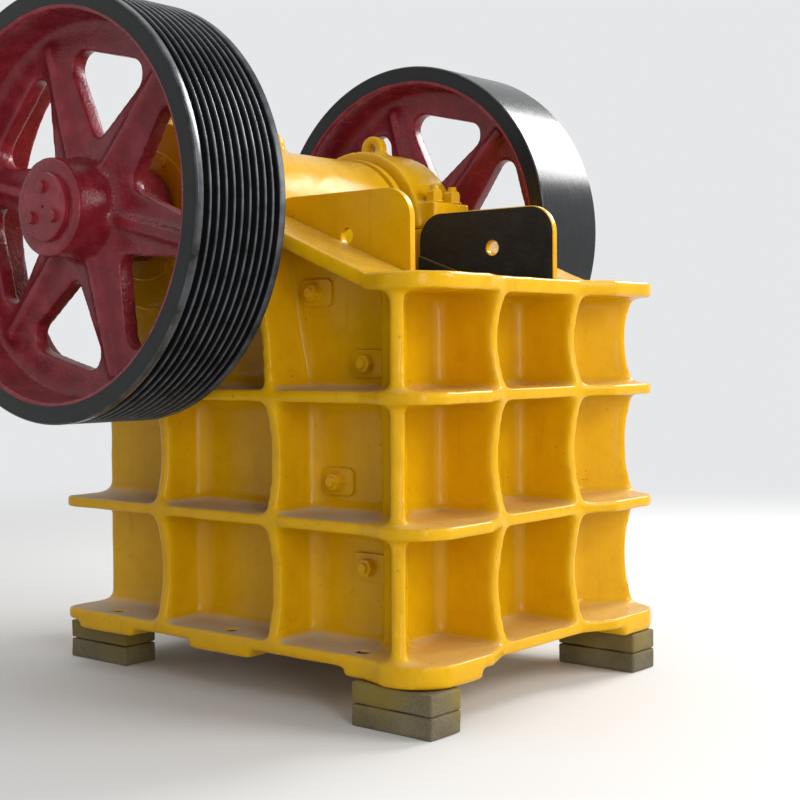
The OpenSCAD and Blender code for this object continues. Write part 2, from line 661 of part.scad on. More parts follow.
// Middle of the front toggle seat with the jaw at rest: it goes round the toggle's end
front_seat_at = toggle_front_at - [0, throw];
module jaw_rib_profile() polygon([
    jaw_wall_top, jaw_wall_foot, on_face(face_l + jaw_bar_h, jaw_plate_t + face_wall_t),
    front_seat_at + [-40, -beam_half_h], front_seat_at + [-20, beam_half_h],
    eccentric_at + jaw_knee, eccentric_at + jaw_shoulder, eccentric_at + [head_r * 0.86, 0], eccentric_at]);
module swing_jaw() color(yellow) on_feet() difference() {
    union() {
        translate([0, 0, eccentric_at.y]) bar_x(head_r, -head_x, head_x);
        along_x(-head_x, head_x) polygon([jaw_wall_top, jaw_wall_foot,
            on_face(face_l + jaw_bar_h, jaw_plate_t + face_wall_t), on_face(-40, jaw_plate_t + face_wall_t)]);
        for (side = [left, right], x = jaw_rib_x)
            along_x(side * x - jaw_rib_t / 2, side * x + jaw_rib_t / 2) jaw_rib_profile();
        // bar under the jaw plate
        along_x(-head_x, head_x) polygon([on_face(face_l, tooth_h), on_face(face_l + jaw_bar_h, tooth_h + 14),
            on_face(face_l + jaw_bar_h, jaw_plate_t + lap), on_face(face_l, jaw_plate_t + lap)]);
        // beam that holds the toggle seat
        along_x(-head_x, head_x) polygon([
            front_seat_at + [-2 * beam_half_h, -beam_half_h], front_seat_at + [-40, -beam_half_h],
            front_seat_at + [-20, beam_half_h], front_seat_at + [-1.7 * beam_half_h, beam_half_h]]);
        translate([0, 0, eccentric_at.y + head_r + eye_r / 3]) lifting_eye(head_r, head_eye_x);
        rod_lugs();
    }
    translate([0, 0, eccentric_at.y]) bar_x(eccentric_r + running_gap, -far, far);
    translate([0, 0, eccentric_at.y + head_r + eye_r / 3]) bar_x(eye_hole_r, head_eye_x - eye_t, head_eye_x + eye_t);
    // pocket for the toggle seat
    along_x(-seat_x, seat_x) seat_block_profile(front_seat_at);
}
// Two lugs with a pin between them, at the foot of the casting
rod_pin_h = rod_h - throw;
lug_gap_x = 2 * rod_r + 8;
module rod_lugs() {
    for (side = [left, right]) on_side(side) along_x(lug_gap_x, lug_gap_x + lug_t) {
        translate([rod_pin_y, rod_pin_h]) circle(lug_r);
        polygon([[rod_pin_y - lug_r, rod_pin_h], on_face(face_l + jaw_bar_h - 10, jaw_plate_t + lap),
            on_face(face_l - 120, jaw_plate_t + lap), [rod_pin_y + lug_r, rod_pin_h]]);
    }
    translate([0, rod_pin_y, rod_pin_h]) bar_x(rod_pin_r, -lug_gap_x - lap, lug_gap_x + lap);
}
// Wedge that clamps the top of the swing jaw plate, with its bolts
module jaw_wedge() color(manganese) on_feet() along_x(-head_x, head_x) polygon([
    on_face(wedge_h - fit_gap, 8), on_face(wedge_h - fit_gap, jaw_plate_t),
    on_face(8, jaw_plate_t), on_face(24, 8)]);

// Toggle and rod

seat_x = toggle_x + 10;
seat_lip = 8;
// Section of the pocket for the front toggle seat, which opens towards the toggle
module seat_block_profile(at) translate(at - [toggle_end_r + toggle_gap + seat_back, seat_half_h])
    square([toggle_end_r + toggle_gap + seat_back, 2 * seat_half_h]);
module front_toggle_seat() color(steel) on_feet() difference() {
    along_x(-seat_x + fit_gap, seat_x - fit_gap) intersection() {
        seat_block_profile(front_seat_at);
        translate(front_seat_at - [far, seat_half_h - fit_gap]) square([far - seat_lip, 2 * (seat_half_h - fit_gap)]);
    }
    translate([0, front_seat_at.x, front_seat_at.y]) bar_x(toggle_end_r + toggle_gap, -far, far);
}
module rear_toggle_seat() color(steel) on_feet() difference() {
    along_x(-seat_x + fit_gap, seat_x - fit_gap) translate(toggle_rear_at + [seat_lip, fit_gap - seat_half_h])
        square([toggle_end_r + seat_back - seat_lip, 2 * (seat_half_h - fit_gap)]);
    translate([0, toggle_rear_at.x, toggle_rear_at.y]) bar_x(toggle_end_r + fit_gap, -far, far);
}
toggle_vec = toggle_rear_at - toggle_front_at;
module toggle_plate() color(steel) on_feet() union() {
    for (at = [toggle_front_at, toggle_rear_at])
        translate([0, at.x, at.y]) bar_x(toggle_end_r, -toggle_x, toggle_x);
    along_x(-toggle_x, toggle_x) translate(toggle_front_at) rotate(atan2(toggle_vec.y, toggle_vec.x))
        translate([0, -toggle_t / 2]) square([norm(toggle_vec), toggle_t]);
}
block_front_y = toggle_rear_at.x + seat_lip + 4;
block_x = wall_in - 10;
block_rear_y = rear_in - shim_l;
module adjusting_block() color(yellow) on_feet() difference() {
    translate([-block_x, block_front_y, block_foot_h]) cube([2 * block_x, block_rear_y - block_front_y, block_h]);
    along_x(-seat_x, seat_x) translate([toggle_rear_at.x, toggle_rear_at.y - seat_half_h])
        square([toggle_end_r + seat_back, 2 * seat_half_h]);
}
module shim_pack() color(steel) on_feet() difference() {
    translate([rib_t - block_x, block_rear_y, block_foot_h]) cube([2 * (block_x - rib_t), shim_l, shim_h]);
    for (y = [1, 2] * shim_l / 3) translate([-far, block_rear_y + y - 1, block_foot_h + 20]) cube([2 * far, 2, shim_h]);
}
module along_y(y0, y1) translate([0, y0, rod_h]) rotate([-90, 0, 0]) linear_extrude(y1 - y0) children();
module tension_rod() color(steel) on_feet() {
    along_y(rod_pin_y + (rod_eye_in_r + rod_eye_r) / 2, rod_end_y) circle(rod_r);
    translate([0, rod_pin_y, rod_h]) difference() {
        bar_x(rod_eye_r, -rod_r, rod_r);
        bar_x(rod_eye_in_r, -far, far);
    }
}
spring_y0 = rear_y + spring_seat_t;
module spring_seat() color(yellow) on_feet() {
    along_y(rear_y, spring_y0) difference() {
        circle(spring_r + 2 * spring_wire_r);
        circle(rod_r + 1);
    }
    along_y(spring_y0 + spring_l, spring_y0 + spring_l + spring_seat_t) difference() {
        circle(spring_r + 2 * spring_wire_r);
        circle(rod_r + fit_gap);
    }
}
// Round wire swept along a helix, with a closed turn at either end
ring_sides = 8;
turn_steps = 20;
function helix_rise(turn) = let(w = 2 * spring_wire_r + 0.4, span = spring_l - 2 * spring_wire_r - 2 * w)
    turn < 1 ? turn * w
    : turn > spring_turns - 1 ? spring_l - 2 * spring_wire_r - (spring_turns - turn) * w
    : w + (turn - 1) / (spring_turns - 2) * span;
module spring() color(yellow) on_feet() translate([0, spring_y0 + spring_wire_r, rod_h]) rotate([-90, 0, 0]) {
    steps = spring_turns * turn_steps;
    points = [for (i = [0 : steps], k = [0 : ring_sides - 1])
        let(turn = i / turn_steps, a = 360 * turn, b = 360 * k / ring_sides,
            r = spring_r + spring_wire_r * cos(b))
        [r * cos(a), r * sin(a), helix_rise(turn) + spring_wire_r * sin(b)]];
    sides = [for (i = [0 : steps - 1], k = [0 : ring_sides - 1])
        let(n = (k + 1) % ring_sides)
        [i * ring_sides + k, i * ring_sides + n, (i + 1) * ring_sides + n, (i + 1) * ring_sides + k]];
    first = [[for (k = [ring_sides - 1 : -1 : 0]) k]];
    last = [[for (k = [0 : ring_sides - 1]) steps * ring_sides + k]];
    polyhedron(points, concat(sides, first, last), convexity = 10);
}
module rod_nut(y, t) along_y(y, y + t) difference() {
    circle(r = rod_nut_w / 2, $fn = 6);
    circle(rod_r + running_gap);
}
module rod_nuts() color(steel) on_feet() {
    nut_y = spring_y0 + spring_l + spring_seat_t;
    rod_nut(nut_y, rod_nut_t);
    rod_nut(nut_y + rod_nut_t + 2, lock_nut_t);
}

// Chamber lining

cheek_foot_h = base_h + shelf_t;
cheek_top_h = [top_at(-front_in) - guard_lap, top_at(-guard_rear_y) - guard_lap];
module cheek(side, outline) color(manganese) on_feet() on_side(side) along_x(chamber_w / 2, wall_in) polygon(outline);
module upper_cheek(side) cheek(side, [
    [-front_in, cheek_split_h], [-front_in, cheek_top_h[0]], [-guard_rear_y, cheek_top_h[1]],
    [-guard_rear_y, (cheek_split_h + cheek_top_h[1]) / 2], [face_y(cheek_split_h) + cheek_reach, cheek_split_h]]);
module lower_cheek(side) cheek(side, [
    [-front_in, cheek_foot_h], [-front_in, cheek_split_h - 2],
    [face_y(cheek_split_h) + cheek_reach, cheek_split_h - 2], [face_y(cheek_foot_h) + cheek_reach, cheek_foot_h]]);
// Guard plate: round top corners; it stands on the front flange and laps the wall behind it
module guard_plate(side) color(yellow) on_feet() on_side(side) difference() {
    corner_h = shaft_h + guard_top - guard_corner_r;
    along_x(wall_in - guard_t, wall_in) difference() {
        union() {
            intersection() {
                for (y = [guard_corner_r - guard_front_y, -guard_rear_y - guard_corner_r])
                    translate([y, corner_h]) circle(guard_corner_r);
                translate([-far, corner_h]) square(2 * far);
            }
            polygon([[-guard_front_y, top_flange_h], [-front_in, top_flange_h],
                [-front_in, cheek_top_h[0]], [-guard_rear_y, cheek_top_h[1]],
                [-guard_rear_y, corner_h], [-guard_rear_y - guard_corner_r, corner_h + guard_corner_r],
                [guard_corner_r - guard_front_y, corner_h + guard_corner_r], [-guard_front_y, corner_h]]);
        }
        translate([-far, -far]) square([far - front_in, far + top_flange_h]);
    }
    translate([0, guard_hole.x, shaft_h + guard_hole.y]) bar_x(guard_hole_r, 0, far);
}
cheek_bolt_h = [top_at(cheek_bolt_y[0]) - cheek_bolt_drop, upper_shelf_h + cheek_bolt_rise[0],
    lower_shelf_h + cheek_bolt_rise[1], base_h + cheek_bolt_rise[2]];
module washer() {
    inner = [washer_size.x - 2 * washer_corner_r, washer_size.y - 2 * washer_corner_r];
    linear_extrude(washer_size.z) union() {
        square([inner.x, washer_size.y], center = true);
        square([washer_size.x, inner.y], center = true);
        for (u = [-1, 1], v = [-1, 1]) translate([u * inner.x / 2, v * inner.y / 2]) circle(washer_corner_r, $fn = 32);
    }
}
module cheek_bolts(side) color(yellow) on_feet() on_side(side) for (k = [0 : 3])
    translate([wall_out, cheek_bolt_y[k], cheek_bolt_h[k]]) rotate([90, 0, 90]) {
        washer();
        hexagon(cheek_nut_w, washer_size.z + cheek_nut_w * 0.55);
        cylinder(r = cheek_nut_w * 0.3, h = washer_size.z + cheek_nut_w * 0.8);
    }

// Bricks under the four corner pads, lengthwise along Y and clear of the foundation holes

module brick_layer(z) {
    front_y0 = foot_hole_y[0] - foot_hole_r - brick_gap - brick.x;
    rear_x = foot_hole_x - foot_hole_r - brick_gap;
    for (at = [[front_brick_x[0], front_y0], [front_brick_x[1], front_y0],
               [-rear_x, foot_hole_y[2]], [rear_x - brick.y, foot_hole_y[2]]])
        translate([at.x, shaft_y + at.y, z]) color(brick_colour) cube([brick.y, brick.x, brick.z]);
}
module lower_bricks() brick_layer(0);
module upper_bricks() brick_layer(brick.z);

side_wall(left);  // side_wall_left
side_wall(right);  // side_wall_right
front_wall();
rear_wall();
bearing_cap(left);  // bearing_cap_left
bearing_cap(right);  // bearing_cap_right
cap_bolts(left);  // cap_bolts_left
cap_bolts(right);  // cap_bolts_right
bearing_cover(left);  // bearing_cover_left
bearing_cover(right);  // bearing_cover_right
seal_ring(left);  // seal_ring_left
seal_ring(right);  // seal_ring_right
eccentric_shaft();
drive_sheave();
flywheel();
end_disc(left);  // end_disc_left
end_disc(right);  // end_disc_right
swing_jaw();
swing_jaw_plate();
jaw_wedge();
front_toggle_seat();
fixed_jaw_plate();
upper_cheek(left);  // upper_cheek_left
upper_cheek(right);  // upper_cheek_right
lower_cheek(left);  // lower_cheek_left
lower_cheek(right);  // lower_cheek_right
guard_plate(left);  // guard_plate_left
guard_plate(right);  // guard_plate_right
cheek_bolts(left);  // cheek_bolts_left
cheek_bolts(right);  // cheek_bolts_right
toggle_plate();
rear_toggle_seat();
adjusting_block();
shim_pack();
tension_rod();
spring();
spring_seat();
rod_nuts();
lower_bricks();
upper_bricks();
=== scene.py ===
"""Looks of a jaw crusher: painted castings, a grooved sheave, a flywheel and a black chamber.

Every length is in metres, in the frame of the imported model: X runs along the shaft,
-Y is the feed end, and Z is up from the ground.
"""

import json
import math

import bmesh
import bpy
import numpy as np
from mathutils import Matrix, Vector

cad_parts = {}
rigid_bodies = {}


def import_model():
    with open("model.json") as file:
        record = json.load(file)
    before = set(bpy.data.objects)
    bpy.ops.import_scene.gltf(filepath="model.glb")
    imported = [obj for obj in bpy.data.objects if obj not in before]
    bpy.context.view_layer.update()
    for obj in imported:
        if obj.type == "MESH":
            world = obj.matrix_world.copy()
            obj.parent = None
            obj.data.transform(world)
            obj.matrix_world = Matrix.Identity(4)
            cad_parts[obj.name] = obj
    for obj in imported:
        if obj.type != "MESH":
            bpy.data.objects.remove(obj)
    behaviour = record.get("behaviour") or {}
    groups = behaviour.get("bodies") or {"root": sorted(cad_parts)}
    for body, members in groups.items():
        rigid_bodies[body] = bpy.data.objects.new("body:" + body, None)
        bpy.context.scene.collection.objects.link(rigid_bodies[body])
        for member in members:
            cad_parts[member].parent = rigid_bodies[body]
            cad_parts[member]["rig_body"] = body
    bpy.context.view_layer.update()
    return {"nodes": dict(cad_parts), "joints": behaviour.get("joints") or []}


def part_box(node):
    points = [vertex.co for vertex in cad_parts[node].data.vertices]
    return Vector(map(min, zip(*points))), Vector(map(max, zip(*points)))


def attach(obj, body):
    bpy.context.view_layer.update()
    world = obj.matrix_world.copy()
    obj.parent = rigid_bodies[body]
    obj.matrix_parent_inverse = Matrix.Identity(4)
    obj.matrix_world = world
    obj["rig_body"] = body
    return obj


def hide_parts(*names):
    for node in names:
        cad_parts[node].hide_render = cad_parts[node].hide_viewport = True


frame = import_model()
NODES = frame["nodes"]
SHAFT = Vector(frame["joints"][0]["pos_m"])

LEFT, RIGHT = -1, 1
UP = Vector((0, 0, 1))
MM = 0.001

# Wheels, as the frame has them
WHEEL_R = (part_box("flywheel")[1].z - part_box("flywheel")[0].z) / 2
WHEEL_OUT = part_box("flywheel")[1].x
WHEEL_W = 291 * MM
WHEEL_IN = WHEEL_OUT - WHEEL_W
BLACK_FROM_R = 491 * MM
GROOVES = 10
GROOVE_PITCH = 25.5 * MM
GROOVE_W = 21 * MM
GROOVE_FLOOR_W = 9 * MM
GROOVE_DEPTH = 19 * MM

# Discs that hold the wheels on the shaft, and the circle of their bolts
END_DISC_R = 86 * MM
END_DISC_T = 14 * MM
END_BOLT_CIRCLE_R = 50 * MM

# Shelves: their tops and undersides above the feet, and the underside of the front's top flange
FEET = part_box("side_wall_left")[0].z
SHELF_TOPS = [55 * MM, 370 * MM, 679 * MM]
SHELF_UNDERSIDES = [340 * MM, 649 * MM]
FRONT_FLANGE_UNDERSIDE = 913 * MM

# Ribs: their places from the shaft, their edges at a shelf, and the hollow and the bead of an edge.
# Each side rib has the height that its root ends at.
FRONT_RIB_X = 175 * MM
FRONT_RIB_EDGE_Y = -900 * MM
SIDE_RIBS = [(-20 * MM, 850 * MM), (-430 * MM, SHELF_TOPS[-1])]
SIDE_RIB_EDGE_X = 515 * MM
SIDE_RIB_TIERS = 2
CORNER_RIB_EDGE = Vector((525 * MM, -850 * MM))
CORNER_RIB_OUTWARD = Vector((0.76, -0.65))
CORNER_RIB_INSET = 12 * MM
ALL_TIERS = len(SHELF_TOPS)
RIB_HALF_T = 15 * MM
RIB_HOLLOW = 24 * MM
RIB_BEAD_R = 19 * MM
BEAD_STEPS = 12

# Roots: the walls' outer faces, and the size of the cast fillets along ribs and shelves
WALL_FACE_X = 368 * MM
FRONT_FACE_Y = -712 * MM
REAR_FACE_Y = 350 * MM
RIB_ROOT = 28 * MM
CORNER_ROOT = 1.15 * RIB_ROOT
SHELF_ROOT = 18 * MM

# Bearings: bolts of the caps, and the outer covers
CAP_BOLT_X = [378 * MM, 466 * MM]
CAP_BOLT_Y = 268 * MM
COVER_R = 172 * MM
COVER_T = 14 * MM
COVER_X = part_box("bearing_cap_right")[1].x
COVER_BORE_R = 81 * MM
COVER_BOLTS = 6
COVER_BOLT_CIRCLE_R = COVER_R - 20 * MM

# Foundation holes: how far they are across the machine, and their places along it from the shaft
FOOT_HOLE_X = 460 * MM
FOOT_HOLE_Y = [-685 * MM, -240 * MM, 205 * MM]
FOOT_HOLE_R = 16 * MM
# the height up to which the holes' walls are painted black as shade
FOOT_HOLE_SHADE_TOP = FEET + 60 * MM

# Cast skins: the grid that each is drawn on, the most triangles that it keeps, and how far a point
# has moved in softening where a hollow is darkest with grime and painted shade, or a corner is
# worn through and palest with a painted sheen
FRAME_GRID, FRAME_TRIANGLES = 7 * MM, 360_000
JAW_GRID, JAW_TRIANGLES = 7 * MM, 90_000
WHEEL_GRID, WHEEL_TRIANGLES = 6 * MM, 110_000
CAP_GRID, CAP_TRIANGLES = 5 * MM, 30_000
BRICK_GRID = 4 * MM
FULL_CREASE = 5 * MM
FULL_WEAR = 3 * MM

# Paint: how deep the casting's grain is under it, and the heights and the places along the machine
# between which dust thins out
GRAIN_DEPTH = 1.4 * MM
DUSTY_UP_TO, CLEAN_FROM = 600 * MM, 1100 * MM
CLEAN_FRONT_Y, DUSTY_FROM_Y = -630 * MM, -570 * MM


# Materials

NOISE = "ShaderNodeTexNoise"
MATH = "ShaderNodeMath"
RANGE = "ShaderNodeMapRange"
MIX = "ShaderNodeMix"
BUMP = "ShaderNodeBump"

# A colour mix's sockets go by number, because their names repeat
FACTOR, FIRST, SECOND, MIXED = 0, 6, 7, 2


def colour(code, alpha=1.0):
    """A colour written as sRGB hex, as the linear values that a shader takes."""
    channels = [int(code[i : i + 2], 16) / 255 for i in (1, 3, 5)]
    linear = [c / 12.92 if c <= 0.04045 else ((c + 0.055) / 1.055) ** 2.4 for c in channels]
    return (*linear, alpha)


def add(tree, kind, inputs=None, stops=(), **settings):
    """Adds a node with its settings and (place, sRGB hex) colour stops, and sets or links its inputs."""
    node = tree.nodes.new(kind)
    for name, value in settings.items():
        setattr(node, name, value)
    for key, value in (inputs or {}).items():
        if isinstance(value, bpy.types.NodeSocket):
            tree.links.new(value, node.inputs[key])
        else:
            node.inputs[key].default_value = value
    if stops:
        elements = node.color_ramp.elements
        while len(elements) < len(stops):
            elements.new(0.5)
        for element, (place, code) in zip(elements, stops):
            element.position = place
            element.color = colour(code)
    return node


def new_material(name):
    """An empty material with a Principled shader, and its Object coordinates."""
    material = bpy.data.materials.new(name)
    material.use_nodes = True
    tree = material.node_tree
    tree.nodes.clear()
    shader = add(tree, "ShaderNodeBsdfPrincipled")
    add(tree, "ShaderNodeOutputMaterial", {"Surface": shader.outputs["BSDF"]})
    place = add(tree, "ShaderNodeTexCoord").outputs["Object"]
    return material, tree, shader, place


def dust_cover(tree, place, patches, wear, most):
    """How much dust lies on the paint: on what faces up, and least high up, on worn edges and in front."""
    normal = add(tree, "ShaderNodeNewGeometry").outputs["Normal"]
    up = add(tree, "ShaderNodeSeparateXYZ", {"Vector": normal}).outputs["Z"]
    where = add(tree, "ShaderNodeSeparateXYZ", {"Vector": place})
    cover = add(tree, RANGE, {"Value": up, "From Min": 0.6, "From Max": 0.98})
    # the feed end is kept cleaner than the sides
    for value, low, high, at_low, at_high in (
            (where.outputs["Z"], DUSTY_UP_TO, CLEAN_FROM, most, most * 0.15),
            (patches, 0.3, 0.6, 0.7, 1.0),
            (wear, 0.05, 0.5, 1.0, 0.25),
            (where.outputs["Y"], CLEAN_FRONT_Y, DUSTY_FROM_Y, 0.35, 1.0)):
        share = add(tree, RANGE, {"Value": value, "From Min": low, "From Max": high,
                                  "To Min": at_low, "To Max": at_high})
        cover = add(tree, MATH, {0: cover.outputs[0], 1: share.outputs[0]}, operation="MULTIPLY")
    return cover


def enamel_on_casting(name, main, pale, deep, grime_and_shade, dusty, gloss, shine, grain_mm, grain, dust_most):
    """Thick brushed enamel over a sand casting.

    The paint is glossy and slightly uneven, the casting's grain shows through it, hollows are
    darkened with grime and painted shade, worn corners are paler with wear and a painted sheen, and
    what faces up holds dust, most of it low down.
    """
    material, tree, shader, place = new_material(name)
    # clouds of about 320 mm, patches of 53 mm, brush marks of 24 mm, spots of 13 mm, runs 26 mm apart
    broad = add(tree, NOISE, {"Vector": place, "Scale": 3.1, "Detail": 3.0}).outputs[0]
    patches = add(tree, NOISE, {"Vector": place, "Scale": 19.0, "Detail": 6.0, "Roughness": 0.6}).outputs[0]
    brush = add(tree, NOISE, {"Vector": place, "Scale": 42.0, "Detail": 2.0, "Distortion": 0.8}).outputs[0]
    spots = add(tree, NOISE, {"Vector": place, "Scale": 75.0, "Detail": 3.0, "Roughness": 0.7}).outputs[0]
    runs = add(tree, "ShaderNodeMapping", {"Vector": place, "Scale": (38.0, 38.0, 4.0)}).outputs["Vector"]
    streaks = add(tree, NOISE, {"Vector": runs, "Scale": 1.0, "Detail": 4.0}).outputs[0]
    sand = add(tree, NOISE, {"Vector": place, "Scale": 1 / (grain_mm * MM), "Detail": 3.0}).outputs[0]
    crease = add(tree, "ShaderNodeAttribute", attribute_name="crease").outputs["Fac"]
    wear = add(tree, "ShaderNodeAttribute", attribute_name="wear").outputs["Fac"]

    base = add(tree, "ShaderNodeValToRGB", {"Fac": patches}, [(0.32, deep), (0.5, main), (0.68, pale)])
    tint = add(tree, "ShaderNodeValToRGB", {"Fac": broad}, [(0.35, deep), (0.6, main)])
    seen = add(tree, MIX, {FACTOR: 0.45, FIRST: base.outputs[0], SECOND: tint.outputs[0]},
               data_type="RGBA").outputs[MIXED]

    # the filled hollows are darkened: painted shade, along with grime
    creased = add(tree, MATH, {0: crease, 1: patches}, operation="MULTIPLY").outputs[0]
    shade_and_grime_in_hollows = add(tree, RANGE, {"Value": creased, "From Min": 0.25, "From Max": 0.8, "To Max": 0.25})
    streaked = add(tree, RANGE, {"Value": streaks, "From Min": 0.62, "From Max": 0.85, "To Max": 0.3})
    spotted = add(tree, RANGE, {"Value": spots, "From Min": 0.66, "From Max": 0.72, "To Max": 0.75})
    clustered = add(tree, RANGE, {"Value": broad, "From Min": 0.4, "From Max": 0.6})
    specks = add(tree, MATH, {0: spotted.outputs[0], 1: clustered.outputs[0]}, operation="MULTIPLY")
    # worn corners are lightened towards the pale colour: worn paint, with a painted sheen
    patchy_wear_and_sheen = add(tree, MATH, {0: wear, 1: patches}, operation="MULTIPLY").outputs[0]
    wear_and_sheen = add(tree, RANGE, {"Value": patchy_wear_and_sheen, "From Min": 0.25, "From Max": 0.6, "To Max": 0.4})

    dust = dust_cover(tree, place, patches, wear, dust_most)
    for layer, code in ((shade_and_grime_in_hollows, grime_and_shade), (streaked, grime_and_shade), (specks, grime_and_shade), (wear_and_sheen, pale), (dust, dusty)):
        seen = add(tree, MIX, {FACTOR: layer.outputs[0], FIRST: seen, SECOND: colour(code)},
                   data_type="RGBA").outputs[MIXED]
    tree.links.new(seen, shader.inputs["Base Color"])

    rough = add(tree, RANGE, {"Value": patches, "From Min": 0.3, "From Max": 0.7,
                              "To Min": gloss, "To Max": gloss + 0.12}).outputs[0]
    dull = add(tree, MATH, {0: dust.outputs[0], 1: 0.6, 2: rough}, operation="MULTIPLY_ADD", use_clamp=True)
    tree.links.new(dull.outputs[0], shader.inputs["Roughness"])
    waves = add(tree, BUMP, {"Height": brush, "Strength": 0.3, "Distance": 1.6 * MM}).outputs["Normal"]
    skin = add(tree, BUMP, {"Height": sand, "Strength": grain, "Distance": GRAIN_DEPTH, "Normal": waves})
    tree.links.new(skin.outputs["Normal"], shader.inputs["Normal"])
    shader.inputs["Specular IOR Level"].default_value = shine
    return material


def oiled_steel():
    """Lathe-turned steel: fine rings round the shaft that draw out its highlights, with oily streaks."""
    material, tree, shader, place = new_material("oiled turned steel")
    # rings 4 mm apart along the shaft, coarser than real ones so that they show, and stains of about 70 mm
    squeezed = add(tree, "ShaderNodeMapping", {"Vector": place, "Scale": (260.0, 9.0, 9.0)}).outputs["Vector"]
    rings = add(tree, NOISE, {"Vector": squeezed, "Scale": 1.0, "Detail": 5.0}).outputs[0]
    stains = add(tree, NOISE, {"Vector": place, "Scale": 14.0, "Detail": 6.0}).outputs[0]
    both = add(tree, MATH, {0: rings, 1: stains}, operation="MULTIPLY").outputs[0]
    seen = add(tree, "ShaderNodeValToRGB", {"Fac": both}, [(0.12, "#6d6f72"), (0.4, "#9a9a98")])
    tree.links.new(seen.outputs[0], shader.inputs["Base Color"])
    shader.inputs["Metallic"].default_value = 0.85
    rough = add(tree, RANGE, {"Value": stains, "To Min": 0.28, "To Max": 0.53})
    tree.links.new(rough.outputs[0], shader.inputs["Roughness"])
    bump = add(tree, BUMP, {"Height": rings, "Strength": 0.2, "Distance": 0.5 * MM})
    tree.links.new(bump.outputs["Normal"], shader.inputs["Normal"])
    return material


def black_rim_enamel():
    """Glossy black enamel on turned rims, with fine turning marks, thin on the lands between the grooves."""
    material, tree, shader, place = new_material("black enamel on turned cast iron")
    around = add(tree, "ShaderNodeSeparateXYZ", {"Vector": place})
    dy = add(tree, MATH, {0: around.outputs["Y"], 1: SHAFT.y}, operation="SUBTRACT").outputs[0]
    dz = add(tree, MATH, {0: around.outputs["Z"], 1: SHAFT.z}, operation="SUBTRACT").outputs[0]
    flat = add(tree, "ShaderNodeCombineXYZ", {"X": dy, "Y": dz}).outputs["Vector"]
    radius = add(tree, "ShaderNodeVectorMath", {0: flat}, operation="LENGTH").outputs["Value"]
    # turning marks 3 mm apart, as the real ones are finer than a pixel, and stains of about 42 mm
    along = add(tree, MATH, {0: radius, 1: around.outputs["X"]}, operation="ADD").outputs[0]
    marks = add(tree, NOISE, {"W": along, "Scale": 1 / (3 * MM), "Detail": 2.0},
                noise_dimensions="1D").outputs[0]
    stains = add(tree, NOISE, {"Vector": place, "Scale": 24.0, "Detail": 7.0}).outputs[0]
    edge = add(tree, "ShaderNodeAttribute", attribute_name="wear").outputs["Fac"]
    patchy = add(tree, MATH, {0: edge, 1: stains}, operation="MULTIPLY").outputs[0]
    thin = add(tree, RANGE, {"Value": patchy, "From Min": 0.2, "From Max": 0.6, "To Max": 0.5}).outputs[0]
    paint = add(tree, "ShaderNodeValToRGB", {"Fac": stains}, [(0.35, "#0b0c0e"), (0.8, "#141618")]).outputs[0]
    # dust lies in the grooves and not on the wheel's faces
    floor_r = WHEEL_R - GROOVE_DEPTH
    in_groove = add(tree, RANGE, {"Value": radius, "From Min": floor_r, "From Max": WHEEL_R - 4 * MM,
                                  "To Min": 0.35, "To Max": 0.0}).outputs[0]
    on_rim = add(tree, RANGE, {"Value": radius, "From Min": BLACK_FROM_R, "From Max": floor_r - 2 * MM})
    dust = add(tree, MATH, {0: in_groove, 1: on_rim.outputs[0]}, operation="MULTIPLY").outputs[0]
    dusty = add(tree, MIX, {FACTOR: dust, FIRST: paint, SECOND: colour("#1f201d")}, data_type="RGBA")
    seen = add(tree, MIX, {FACTOR: thin, FIRST: dusty.outputs[MIXED], SECOND: colour("#767b82")},
               data_type="RGBA").outputs[MIXED]
    tree.links.new(seen, shader.inputs["Base Color"])
    rough = add(tree, RANGE, {"Value": marks, "From Min": 0.3, "From Max": 0.7,
                              "To Min": 0.16, "To Max": 0.3})
    tree.links.new(rough.outputs[0], shader.inputs["Roughness"])
    bare = add(tree, MATH, {0: thin, 1: 0.5}, operation="MULTIPLY").outputs[0]
    tree.links.new(bare, shader.inputs["Metallic"])
    shader.inputs["Specular IOR Level"].default_value = 0.3
    bump = add(tree, BUMP, {"Height": marks, "Strength": 0.22, "Distance": 0.5 * MM})
    tree.links.new(bump.outputs["Normal"], shader.inputs["Normal"])
    return material


